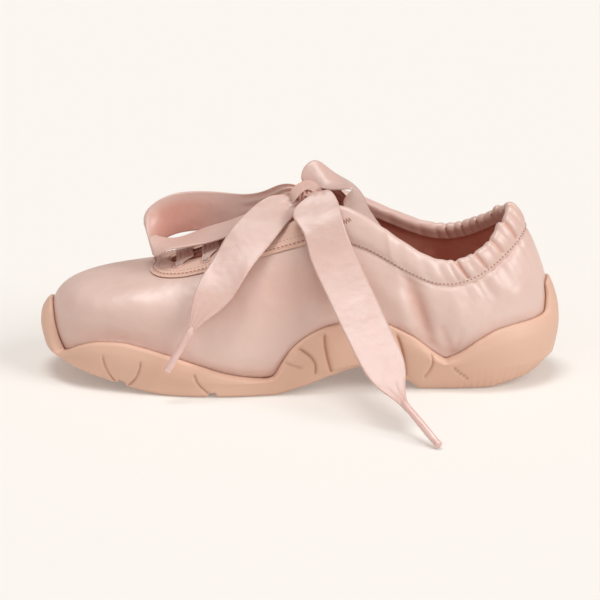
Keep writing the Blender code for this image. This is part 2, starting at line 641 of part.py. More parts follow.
def build_ribbon(name, rows, steps, material):
    """A flat ribbon along its centre line, from the table's half widths."""
    rows = np.array(rows)
    run = np.linalg.norm(np.diff(rows[:, :3], axis=0), axis=1)
    knots = np.concatenate([[0.0], np.cumsum(run)])
    fine = curve_through(knots, rows, np.linspace(0.0, knots[-1], steps))
    centre, half = fine[:, :3], fine[:, 3:]
    along = np.gradient(centre, axis=0)
    normal = np.cross(along, half)
    normal *= 0.5 * RIBBON_THICKNESS / np.linalg.norm(normal, axis=1)[:, None]
    net = np.concatenate([centre - half, centre, centre + half])
    normals = np.tile(normal, (3, 1))
    return make_piece(name, *thicken(net + normals, net - normals, grid_faces(3, steps)), material)


def build_knot(material):
    """Knot of the bow, a gathered lump with soft lobes."""
    centre, radii = np.array(KNOT["centre"]), np.array(KNOT["radii"])
    turns, levels = 14, 8
    points, faces = [centre + radii * (0, 0, 1)], []
    for i in range(1, levels):
        polar = math.pi * i / levels
        for j in range(turns):
            turn = 2 * math.pi * j / turns
            swell = 1.0 - 0.06 * (1 + math.cos(3 * turn)) * math.sin(polar)
            points.append(centre + radii * (swell * math.sin(polar) * math.cos(turn),
                                            swell * math.sin(polar) * math.sin(turn), math.cos(polar)))
    points.append(centre - radii * (0, 0, 1))
    for j in range(turns):
        nxt = (j + 1) % turns
        faces.append((0, 1 + j, 1 + nxt))
        for i in range(levels - 2):
            faces.append((1 + i * turns + j, 1 + (i + 1) * turns + j,
                          1 + (i + 1) * turns + nxt, 1 + i * turns + nxt))
        last = 1 + (levels - 2) * turns
        faces.append((last + j, len(points) - 1, last + nxt))
    return make_piece("bow_knot", points, faces, material)


def build_aglet(name, ends, material):
    """Aglet: a round sheath, slightly waisted at its ribbon end."""
    start, tip = (np.array(end) for end in ends)
    axis = (tip - start) / np.linalg.norm(tip - start)
    side = np.cross(axis, (0.0, 0.0, 1.0))
    side /= np.linalg.norm(side)
    other = np.cross(axis, side)
    sections = []
    for share, radius in ((0.0, 0.75), (0.12, 1.0), (0.95, 1.0), (1.0, 0.8)):
        turn = np.arange(10) * math.pi / 5
        ring = (np.outer(np.cos(turn), side) + np.outer(np.sin(turn), other)) * AGLET_RADIUS * radius
        sections.append(start + (tip - start) * share + ring)
    return make_piece(name, *sweep(np.array(sections)), material)


def main():
    for thing in list(bpy.data.objects):
        bpy.data.objects.remove(thing, do_unlink=True)
    build_sole(make_material("rubber", RUBBER, 0.55))
    build_upper(make_material("satin", SATIN, 0.38))
    build_insole(make_material("sock_lining", LINING, 0.8))
    build_tongue(make_material("tongue_cloth", LINING, 0.75))
    build_eyestay(make_material("matte_cloth", MATTE_CLOTH, 0.7))
    build_casing(make_material("casing_satin", SATIN, 0.42))
    build_lace(make_material("lace_cloth", RIBBON, 0.5))
    build_knot(make_material("knot_satin", RIBBON, 0.45))
    build_ribbon("bow_loop_front", FRONT_LOOP, 34, make_material("front_loop_satin", RIBBON, 0.42))
    build_ribbon("bow_loop_rear", REAR_LOOP, 38, make_material("rear_loop_satin", RIBBON, 0.42))
    build_ribbon("ribbon_tail_front", FRONT_TAIL, 18, make_material("front_tail_satin", RIBBON, 0.42))
    build_ribbon("ribbon_tail_rear", REAR_TAIL, 24, make_material("rear_tail_satin", RIBBON, 0.42))
    build_aglet("aglet_front", FRONT_AGLET, make_material("front_aglet_cloth", RIBBON, 0.35))
    build_aglet("aglet_rear", REAR_AGLET, make_material("rear_aglet_cloth", RIBBON, 0.35))


main()
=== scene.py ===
# Ballet sneaker, left shoe: satin upper, rubber cup sole, gathered collar and a ribbon bow.
# Sizes are in millimetres in the shoe's own frame: toe at -X, lateral side at -Y, +Z up, floor at 0.
import math

import bpy
import numpy as np
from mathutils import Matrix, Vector


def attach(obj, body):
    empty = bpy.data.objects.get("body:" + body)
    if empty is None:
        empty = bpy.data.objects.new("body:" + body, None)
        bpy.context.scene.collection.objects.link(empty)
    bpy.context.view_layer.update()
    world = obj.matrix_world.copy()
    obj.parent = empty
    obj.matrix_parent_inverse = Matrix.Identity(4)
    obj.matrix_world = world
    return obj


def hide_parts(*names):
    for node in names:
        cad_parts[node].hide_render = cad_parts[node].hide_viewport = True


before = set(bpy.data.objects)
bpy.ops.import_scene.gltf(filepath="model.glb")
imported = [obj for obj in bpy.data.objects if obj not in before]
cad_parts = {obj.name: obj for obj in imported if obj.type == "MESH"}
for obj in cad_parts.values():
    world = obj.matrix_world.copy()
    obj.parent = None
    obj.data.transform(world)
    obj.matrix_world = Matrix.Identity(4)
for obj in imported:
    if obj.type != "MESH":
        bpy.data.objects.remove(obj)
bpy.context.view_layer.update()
up = np.array([0.0, 0.0, 1.0])

# Camera, light and floor.
studio = dict(
    elevation=17.0, distance=1.8, viewWidth=0.307, target=(0.0, 0.0, 0.0374), sensor=36.0,
    floorSize=8.0, floorColour=(0.71, 0.688, 0.655), skyColour=(1.0, 0.895, 0.85), skyLow=0.28, skyHigh=0.42,
    floorGlow=0.27,
)
lamps = (
    # name, direction it shines from, angle across in degrees, strength, colour
    ("rightSky", (0.95, -0.60, 0.75), 34.0, 1.45, (0.98, 1.0, 1.0)),
    ("highSky", (-0.10, -0.08, 1.0), 26.0, 1.35, (0.98, 1.0, 1.0)),
    ("frontSky", (-0.45, -1.0, 0.70), 60.0, 0.32, (0.98, 1.0, 1.0)),
)


# One node, with its settings; each of its sockets takes a value or the output that feeds it.
def addNode(tree, kind, sockets=(), **settings):
    node = tree.nodes.new(kind)
    for key, value in settings.items():
        setattr(node, key, value)
    for key, value in dict(sockets).items():
        if isinstance(value, bpy.types.NodeSocket):
            tree.links.new(value, node.inputs[key])
        else:
            node.inputs[key].default_value = value
    return node


# A camera on the lateral side, raised by its elevation and aimed at the target.
def addCamera():
    lens = bpy.data.cameras.new("camera")
    lens.sensor_width = studio["sensor"]
    lens.lens = studio["sensor"] * studio["distance"] / studio["viewWidth"]
    camera = bpy.data.objects.new("camera", lens)
    tilt = math.radians(studio["elevation"])
    x, y, z = studio["target"]
    camera.location = (x, y - studio["distance"] * math.cos(tilt), z + studio["distance"] * math.sin(tilt))
    camera.rotation_euler = (math.pi / 2 - tilt, 0.0, 0.0)
    bpy.context.scene.collection.objects.link(camera)
    bpy.context.scene.camera = camera


# Wide soft lamps at infinity, which light the floor evenly; each shines along its own -Z axis.
def addLamps():
    for name, direction, spread, strength, colour in lamps:
        data = bpy.data.lights.new(name, "SUN")
        data.angle = math.radians(spread)
        data.energy = strength
        data.color = colour
        lamp = bpy.data.objects.new(name, data)
        lamp.rotation_euler = Vector(direction).to_track_quat("Z", "Y").to_euler()
        bpy.context.scene.collection.objects.link(lamp)
    world = bpy.data.worlds.new("studio")
    world.use_nodes = True
    tree = world.node_tree
    sky = tree.nodes["Background"]
    sky.inputs["Color"].default_value = (*studio["skyColour"], 1.0)
    # the sky is brighter the higher it is
    place = addNode(tree, "ShaderNodeTexCoord")
    height = addNode(tree, "ShaderNodeSeparateXYZ", {0: place.outputs["Generated"]})
    light = addNode(tree, "ShaderNodeMapRange", {0: height.outputs["Z"], 1: -0.2, 2: 1.0,
                                                 3: studio["skyLow"], 4: studio["skyHigh"]})
    tree.links.new(light.outputs[0], sky.inputs["Strength"])
    bpy.context.scene.world = world
    bpy.context.scene.view_settings.view_transform = "Standard"


addCamera()
addLamps()
print("camera and lamps")


# Materials.
colours = dict(
    # the satin's deep colour is painted shade, in the creases and near the rubber
    satin=(0.69, 0.46, 0.39), satinPaintedShade=(0.60, 0.26, 0.18), satinPale=(0.83, 0.645, 0.58),
    # the seam colour is a dark line at the rubber's edge: partly its own colour, partly painted shade of the
    # gap
    seamAndPaintedShade=(0.58, 0.34, 0.25),
    # the rubber's deep colour is painted shade in the moulded lines
    rubber=(0.715, 0.45, 0.335), rubberPaintedShade=(0.40, 0.16, 0.09), rubberPale=(0.78, 0.53, 0.41),
    lining=(0.64, 0.24, 0.165), liningPale=(0.76, 0.38, 0.29),
    matte=(0.74, 0.47, 0.37), mattePale=(0.79, 0.53, 0.43),
    tongue=(0.80, 0.34, 0.24), tonguePale=(0.86, 0.44, 0.33),
    # the ribbon's second colour is painted shade in its pleats and painted glow of light through the cloth in
    # its loops
    ribbon=(0.635, 0.425, 0.365), ribbonPaintedShadeAndGlow=(0.62, 0.21, 0.135), ribbonPale=(0.74, 0.555, 0.495),
    darkThread=(0.36, 0.14, 0.10), paleThread=(0.70, 0.45, 0.38),
    sock=(0.66, 0.27, 0.19), sockPale=(0.72, 0.34, 0.25),
    aglet=(0.72, 0.46, 0.41), agletPale=(0.82, 0.60, 0.55),
    # the hole colour is painted shade in the eyelets' dished middles
    eyelet=(0.62, 0.36, 0.29), holePaintedShade=(0.06, 0.015, 0.01),
)


# A blend of two colours (each a socket or a plain colour) by a share of a factor socket.
def mixColours(tree, factor, first, second, share=1.0):
    if share != 1.0:
        scaled = addNode(tree, "ShaderNodeMath", {0: factor, 1: share}, operation="MULTIPLY", use_clamp=True)
        factor = scaled.outputs[0]
    first, second = ((*c, 1.0) if isinstance(c, tuple) else c for c in (first, second))
    return addNode(tree, "ShaderNodeMix", {0: factor, 6: first, 7: second}, data_type="RGBA").outputs[2]


# Noise on Object coordinates, spread from low and high to 0 and 1; the scale is repeats in a metre.
def noiseFactor(tree, scale, detail=3.0, low=0.3, high=0.7):
    place = addNode(tree, "ShaderNodeTexCoord").outputs["Object"]
    noise = addNode(tree, "ShaderNodeTexNoise", {"Vector": place, "Scale": scale, "Detail": detail})
    return addNode(tree, "ShaderNodeMapRange", {0: noise.outputs["Fac"], 1: low, 2: high}).outputs[0]


# The piece's own attribute as a factor.
def attributeFactor(tree, name):
    return addNode(tree, "ShaderNodeAttribute", attribute_name=name).outputs["Fac"]


# Fine ridges along one of the piece's own attributes, in millimetres: a sine that repeats by the pitch.
def threadHeight(tree, name, pitch):
    along = attributeFactor(tree, name)
    turn = addNode(tree, "ShaderNodeMath", {0: along, 1: 2 * math.pi / pitch}, operation="MULTIPLY")
    return addNode(tree, "ShaderNodeMath", {0: turn.outputs[0]}, operation="SINE").outputs[0]


# A cloth or rubber finish: base to pale colour by noise, then to the painted shade and seam colours by
# attributes; the bump is fine noise or threads, over a wider crumple (its scale and depth).
def makeFinish(name, base, pale, roughness, paintedShadeColour=None, paintedShadeBy=None, seamAndPaintedShade=None, mottle=14.0, mottleShare=0.6,
               grain=900.0, bump=0.05, bumpDistance=0.0002, threads=None, crumple=None, sockets=()):
    material = bpy.data.materials.new(name)
    material.use_nodes = True
    tree = material.node_tree
    shader = tree.nodes["Principled BSDF"]
    shader.inputs["Roughness"].default_value = roughness
    for key, value in dict(sockets).items():
        shader.inputs[key].default_value = value
    colour = mixColours(tree, noiseFactor(tree, mottle), base, pale, mottleShare)
    if paintedShadeBy:
        colour = mixColours(tree, attributeFactor(tree, paintedShadeBy), colour, paintedShadeColour)
    if seamAndPaintedShade:
        colour = mixColours(tree, attributeFactor(tree, "seamAndPaintedShade"), colour, seamAndPaintedShade)
    tree.links.new(colour, shader.inputs["Base Color"])
    height = threadHeight(tree, *threads) if threads else noiseFactor(tree, grain, 2.0)
    relief = addNode(tree, "ShaderNodeBump", {"Strength": bump, "Distance": bumpDistance, "Height": height})
    if crumple:
        scale, depth = crumple
        height = noiseFactor(tree, scale, 2.5, low=0.0, high=1.0)
        relief = addNode(tree, "ShaderNodeBump", {"Strength": 1.0, "Distance": depth, "Height": height,
                                                  "Normal": relief.outputs["Normal"]})
    tree.links.new(relief.outputs["Normal"], shader.inputs["Normal"])
    material.diffuse_color = (*base, 1.0)
    return material


clothSheen = {"Sheen Weight": 0.2, "Sheen Roughness": 0.35, "Sheen Tint": (1.0, 0.88, 0.82, 1.0),
              "Specular Tint": (0.92, 0.98, 1.0, 1.0)}
c = colours
finishes = dict(
    satin=makeFinish("satin", c["satin"], c["satinPale"], 0.43, c["satinPaintedShade"], "paintedShade", c["seamAndPaintedShade"],
                     grain=1400.0, bump=0.08, crumple=(55.0, 0.0016),
                     sockets={**clothSheen, "IOR": 1.65, "Specular IOR Level": 0.75}),
    lining=makeFinish("lining", c["lining"], c["liningPale"], 0.8, mottle=60.0, bump=0.3),
    rubber=makeFinish("rubber", c["rubber"], c["rubberPale"], 0.5, c["rubberPaintedShade"], "paintedShade", mottle=22.0,
                      mottleShare=0.35, grain=2600.0, bump=0.1, sockets={"Specular IOR Level": 0.4}),
    matte=makeFinish("matteCloth", c["matte"], c["mattePale"], 0.72, c["satinPaintedShade"], "paintedShade", mottle=40.0,
                     grain=2200.0, bump=0.3, sockets={"Sheen Weight": 0.3}),
    tongue=makeFinish("tongueCloth", c["tongue"], c["tonguePale"], 0.7, mottle=60.0, bump=0.25,
                      sockets={"Sheen Weight": 0.2}),
    ribbon=makeFinish("ribbonSatin", c["ribbon"], c["ribbonPale"], 0.4, c["ribbonPaintedShadeAndGlow"], "paintedShade", mottle=20.0,
                      mottleShare=0.4, bump=0.12, bumpDistance=0.0001, threads=("along", 0.9),
                      crumple=(70.0, 0.0012),
                      sockets={**clothSheen, "IOR": 1.6, "Specular IOR Level": 0.7, "Subsurface Weight": 0.25,
                               "Subsurface Radius": (1.0, 0.35, 0.2), "Subsurface Scale": 0.002}),
    darkThread=makeFinish("darkThread", c["darkThread"], c["darkThread"], 0.7),
    paleThread=makeFinish("paleThread", c["paleThread"], c["paleThread"], 0.7),
    sock=makeFinish("sockCloth", c["sock"], c["sockPale"], 0.85, mottle=80.0, bump=0.3),
    aglet=makeFinish("agletWrap", c["aglet"], c["agletPale"], 0.28, mottle=160.0, bump=0.15,
                     sockets={"Coat Weight": 0.6, "Coat Roughness": 0.15}),
    eyelet=makeFinish("eyeletEnamel", c["eyelet"], c["satinPale"], 0.3, c["holePaintedShade"], "paintedShade", mottle=300.0,
                      sockets={"Coat Weight": 0.4}),
)
print("materials")


# The last, the form that every piece is cut from.
last = dict(
    length=250.0, wall=1.8, gap=0.3, curveGap=0.45, soleGap=0.55, edgeRadius=1.6,
    # one row each 22.5 degrees, toe, lateral side, heel, medial side: foot y and z, low handle out and up,
    # top x, y and z, high handle out and up
    rows=(
        (5.0, 17.0, 11.0, 39.5, -66.0, 2.5, 57.5, 37.0, -8.0),
        (-20.5, 14.5, 9.5, 34.5, -62.0, -7.0, 58.5, 32.0, -8.0),
        (-33.5, 9.5, 8.5, 30.0, -46.0, -10.5, 63.5, 26.0, -7.0),
        (-41.5, 6.5, 7.0, 29.0, -22.0, -12.5, 74.0, 21.0, -7.0),
        (-37.5, 11.0, 6.0, 30.0, 3.0, -16.5, 85.0, 15.0, -12.0),
        (-32.5, 17.0, 6.0, 26.0, 32.0, -25.0, 86.4, 7.0, -22.0),
        (-32.0, 14.5, 7.0, 20.0, 66.0, -28.0, 66.6, 6.0, -18.0),
        (-22.0, 14.5, 6.0, 22.0, 93.0, -21.0, 71.2, 9.0, -20.0),
        (0.0, 15.0, 6.0, 22.0, 107.5, 0.0, 86.2, 18.0, -22.0),
        (22.0, 14.5, 6.0, 22.0, 93.0, 21.0, 75.2, 9.0, -20.0),
        (31.5, 14.5, 6.5, 20.0, 66.0, 28.0, 69.6, 6.0, -18.0),
        (31.0, 17.0, 5.0, 26.0, 32.0, 25.0, 83.0, 7.0, -22.0),
        (34.0, 11.0, 6.0, 30.0, 3.0, 16.5, 85.0, 15.0, -12.0),
        (41.5, 6.5, 6.5, 29.0, -22.0, 13.0, 74.0, 21.0, -7.0),
        (36.5, 9.5, 8.5, 30.0, -46.0, 11.5, 63.5, 26.0, -7.0),
        (25.5, 14.5, 9.5, 34.5, -62.0, 9.5, 58.5, 32.0, -8.0),
    ),
)


# Vectors cut to length 1.
def unit(vectors):
    return vectors / np.linalg.norm(vectors, axis=-1, keepdims=True)


# Distance run along a line of points: the running sum of its steps, from 0.
def runAlong(line):
    return np.concatenate([[0.0], np.cumsum(np.linalg.norm(np.diff(line, axis=0), axis=1))])


# The same up each column of a grid of points.
def runUp(grid):
    step = np.linalg.norm(np.diff(grid, axis=0), axis=2)
    return np.concatenate([np.zeros((1, grid.shape[1])), np.cumsum(step, axis=0)])


# A step that starts and ends level: 3t^2 - 2t^3 between 0 and 1.
def smoothStep(t):
    t = np.clip(t, 0.0, 1.0)
    return t * t * (3.0 - 2.0 * t)


# Natural cubic through rows at their knots: second derivatives from one linear system.
def curveThrough(knots, rows, query):
    knots, rows, query = (np.asarray(a, float) for a in (knots, rows, query))
    count = len(knots)
    step = np.diff(knots)
    slopes = np.diff(rows, axis=0) / step[:, None]
    system = np.eye(count)
    middle = np.arange(1, count - 1)
    system[middle, middle - 1] = step[:-1]
    system[middle, middle] = 2.0 * (step[:-1] + step[1:])
    system[middle, middle + 1] = step[1:]
    right = np.zeros_like(rows)
    right[1:-1] = 6.0 * np.diff(slopes, axis=0)
    bend = np.linalg.solve(system, right)
    i = np.clip(np.searchsorted(knots, query, side="right") - 1, 0, count - 2)
    h = step[i][:, None]
    b = (query - knots[i])[:, None] / h
    a = 1.0 - b
    return (a * rows[i] + b * rows[i + 1]
            + ((a ** 3 - a) * bend[i] + (b ** 3 - b) * bend[i + 1]) * h * h / 6.0)


# A table read along its first column by cubics that never pass its rows: harmonic-mean tangents.
def smoothTable(table, query, column=1):
    table = np.asarray(table, float)
    x, y = table[:, 0], table[:, column]
    step, slope = np.diff(x), np.diff(y) / np.diff(x)
    tangent = np.zeros(len(x))
    same = slope[:-1] * slope[1:] > 0
    w1, w2 = 2 * step[1:] + step[:-1], step[1:] + 2 * step[:-1]
    before, after = np.where(same, slope[:-1], 1.0), np.where(same, slope[1:], 1.0)
    tangent[1:-1] = np.where(same, (w1 + w2) / (w1 / before + w2 / after), 0.0)
    query = np.clip(np.asarray(query, float), x[0], x[-1])
    i = np.clip(np.searchsorted(x, query, side="right") - 1, 0, len(x) - 2)
    t = (query - x[i]) / step[i]
    return (y[i] * (1 + 2 * t) * (1 - t) ** 2 + y[i + 1] * t * t * (3 - 2 * t)
            + step[i] * t * (1 - t) * (tangent[i] * (1 - t) - tangent[i + 1] * t))


# The last's nine values at any angle: a closed cubic through its rows.
def lastAt(angle):
    rows = last["rows"]
    wrapped = np.array(rows[-4:] + rows + rows[:5])
    knots = (np.arange(len(wrapped)) - 4) * 360.0 / len(rows)
    values = curveThrough(knots, wrapped, np.mod(angle, 360.0).ravel())
    return np.moveaxis(values.reshape(*np.shape(angle), 9), -1, 0)


# Feather line: x = -half length * cos(angle), y and z from the rows; and its outward direction in plan.
def featherLine(angle):
    # x from the cosine, y and z from the last
    def place(degrees):
        values = lastAt(degrees)
        return np.stack([-0.5 * last["length"] * np.cos(np.radians(degrees)), values[0], values[1]], axis=-1)
    angle = np.asarray(angle, float)
    along = place(angle + 0.5) - place(angle - 0.5)
    return place(angle), unit(np.stack([along[..., 1], -along[..., 0], 0 * along[..., 2]], axis=-1))


# Outer face of the upper: a cubic Bezier from the feather line (rise 0) to the top edge (rise 1).
def upperPoint(angle, rise):
    angle, rise = np.broadcast_arrays(np.asarray(angle, float), np.asarray(rise, float))
    values = lastAt(angle)
    foot, away = featherLine(angle)
    edge = np.stack([values[4], values[5], values[6]], axis=-1)
    low = foot + away * values[2][..., None] + up * values[3][..., None]
    high = edge + away * values[7][..., None] + up * values[8][..., None]
    t = rise[..., None]
    s = 1.0 - t
    return s ** 3 * foot + 3 * s * s * t * low + 3 * s * t * t * high + t ** 3 * edge


# Outward normal: the cross product of the steps round and up the upper.
def upperNormal(angle, rise):
    angle, rise = np.broadcast_arrays(np.asarray(angle, float), np.asarray(rise, float))
    along = upperPoint(angle + 0.5, rise) - upperPoint(angle - 0.5, rise)
    upward = upperPoint(angle, np.clip(rise + 0.01, 0, 1)) - upperPoint(angle, np.clip(rise - 0.01, 0, 1))
    return unit(np.cross(along, upward))


# A point a distance outside the upper's outer face.
def offUpper(angle, rise, distance):
    return upperPoint(angle, rise) + upperNormal(angle, rise) * np.asarray(distance, float)[..., None]


# Where sampled columns first reach a target: the sample before it plus the share of the step.
def firstReach(samples, values, target):
    after = np.clip(np.argmax(values >= target[None], axis=0), 1, len(samples) - 1)
    column = np.arange(values.shape[1])
    low, high = values[after - 1, column], values[after, column]
    share = np.clip((target - low) / np.maximum(high - low, 1e-9), 0.0, 1.0)
    return samples[after - 1] + (samples[after] - samples[after - 1]) * share


# Rise of the point that lies a depth below the top edge, along the upper, at each angle.
def riseBelowEdge(angle, depth):
    samples = np.linspace(0.0, 1.0, 121)
    line = upperPoint(np.asarray(angle, float)[None, :], samples[:, None])
    length = runUp(line)
    rows = np.atleast_2d(depth) * np.ones((1, len(angle)))
    found = np.stack([firstReach(samples, length, length[-1] - row) for row in rows])
    return found.reshape(np.broadcast_shapes(np.shape(depth), np.shape(angle)))


# Rise of the point of the upper that has this height above the floor, at each angle.
def riseAtHeight(angle, height):
    samples = np.linspace(0.0, 0.9, 121)
    line = upperPoint(np.asarray(angle, float)[None, :], samples[:, None])
    return firstReach(samples, line[..., 2], np.broadcast_to(np.asarray(height, float), angle.shape))


# Angle from the toe, 0 to 180, on either side.
def foldAngle(angle):
    return 180.0 - np.abs(180.0 - np.mod(angle, 360.0))


# Nets and meshes.


# Quads of a grid kept row by row; either way may close on itself.
def gridQuads(rows, columns, closeColumns=False, closeRows=False):
    r = np.arange(rows if closeRows else rows - 1)[:, None]
    k = np.arange(columns if closeColumns else columns - 1)[None, :]
    nextRow, nextColumn = (r + 1) % rows, (k + 1) % columns
    quads = [r * columns + k, r * columns + nextColumn, nextRow * columns + nextColumn, nextRow * columns + k]
    return np.stack(np.broadcast_arrays(*quads), axis=-1).reshape(-1, 4)


# Quads of a grid of point numbers.
def indexQuads(index):
    return np.stack([index[:-1, :-1], index[1:, :-1], index[1:, 1:], index[:-1, 1:]], axis=-1).reshape(-1, 4)


# Unit vectors at these turns round an axis: cosine and sine times two directions square to it.
def spokesRound(axis, turn):
    first = unit(np.cross(axis, up))
    return np.cos(turn)[:, None] * first + np.sin(turn)[:, None] * np.cross(axis, first)


# Rungs from each lateral point of a ring to its medial one: straight lines cut in equal shares.
# The ring starts at the toe and passes the heel half way round; its two ends close in triangles.
def ladderNet(ring, across, ringStart, newStart):
    count = len(ring)
    half = count // 2
    i = np.arange(1, half)
    share = (np.arange(1, across) / across)[None, :, None]
    points = ring[i][:, None] + (ring[count - i] - ring[i])[:, None] * share
    index = np.empty((half + 1, across + 1), int)
    index[0], index[half] = ringStart, ringStart + half
    index[1:half, 0], index[1:half, -1] = ringStart + i, ringStart + count - i
    index[1:half, 1:-1] = newStart + np.arange((half - 1) * (across - 1)).reshape(half - 1, across - 1)
    return points.reshape(-1, 3), indexQuads(index)


# A closed form's faces turned outwards: its volume is the sum of its triangles' corner products.
def outward(points, quads):
    a, b, d, e = (points[quads[:, k]] for k in range(4))
    volume = np.einsum("ij,ij->", a, np.cross(b, d)) + np.einsum("ij,ij->", a, np.cross(d, e))
    return quads if volume > 0 else quads[:, ::-1]


# A piece from points in millimetres; a corner equal to the one before it is left out of its face.
def makePiece(name, points, quads, finish, slot, replaces=(), attributes=None, second=None, secondFaces=None):
    keep = quads != np.roll(quads, 1, axis=1)
    ends = np.cumsum(keep.sum(axis=1))[:-1]
    mesh = bpy.data.meshes.new(name)
    mesh.from_pydata((points * 0.001).tolist(), [], [list(f) for f in np.split(quads[keep], ends)])
    for key, values in (attributes or {}).items():
        layer = mesh.attributes.new(key, "FLOAT", "POINT")
        layer.data.foreach_set("value", np.asarray(values, np.float32).ravel())
    mesh.shade_smooth()
    mesh.materials.append(finishes[finish])
    if second:
        mesh.materials.append(finishes[second])
        mesh.polygons.foreach_set("material_index", secondFaces.astype(np.int32))
    piece = bpy.data.objects.new(name, mesh)
    bpy.context.scene.collection.objects.link(piece)
    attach(piece, "root")
    if replaces:
        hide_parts(*replaces)
    print("piece", name, len(quads), "faces")
    return piece


# Closed sections along a path, each end closed by a fan round the section's middle.
def tubeNet(sections):
    steps, around = sections.shape[:2]
    points = np.concatenate([sections.reshape(-1, 3), sections[0].mean(0)[None], sections[-1].mean(0)[None]])
    k = np.arange(around)
    after = (k + 1) % around
    first, final = steps * around, steps * around + 1
    lastRow = (steps - 1) * around
    caps = [np.stack([np.full(around, first), after, k, k], axis=-1),
            np.stack([np.full(around, final), lastRow + k, lastRow + after, lastRow + after], axis=-1)]
    quads = np.concatenate([gridQuads(steps, around, closeColumns=True)] + caps)
    return points, outward(points, quads)


# Several nets as one: each one's faces count on from the points before it.
def joinNets(nets):
    starts = np.cumsum([0] + [len(points) for points, _ in nets[:-1]])
    return (np.concatenate([points for points, _ in nets]),
            np.concatenate([quads + start for (_, quads), start in zip(nets, starts)]))


# Stacked rings as a closed form: quads between them, rungs over the lowest and the highest.
def stackRings(rings, across, shapeBottom=None):
    count = len(rings[0])
    points, quads = [np.concatenate(rings)], [gridQuads(len(rings), count, closeColumns=True)]
    total = len(points[0])
    for which in (0, len(rings) - 1):
        new, rungs = ladderNet(rings[which], across, which * count, total)
        if which == 0 and shapeBottom:
            new[:, 2] = shapeBottom(new)
        # the lower cap faces down and the upper one up
        quads.append(rungs if which == 0 else rungs[:, ::-1])
        points.append(new)
        total += len(new)
    points = np.concatenate(points)
    return points, outward(points, np.concatenate(quads))


# A closed curve through section points, cut in equal steps of its own length.
def closedSection(points, count):
    points = np.asarray(points, float)
    wrapped = np.concatenate([points[-4:], points, points[:5]])
    knots = runAlong(wrapped)
    start, end = knots[4], knots[4 + len(points)]
    return curveThrough(knots, wrapped, np.linspace(start, end, count, endpoint=False))


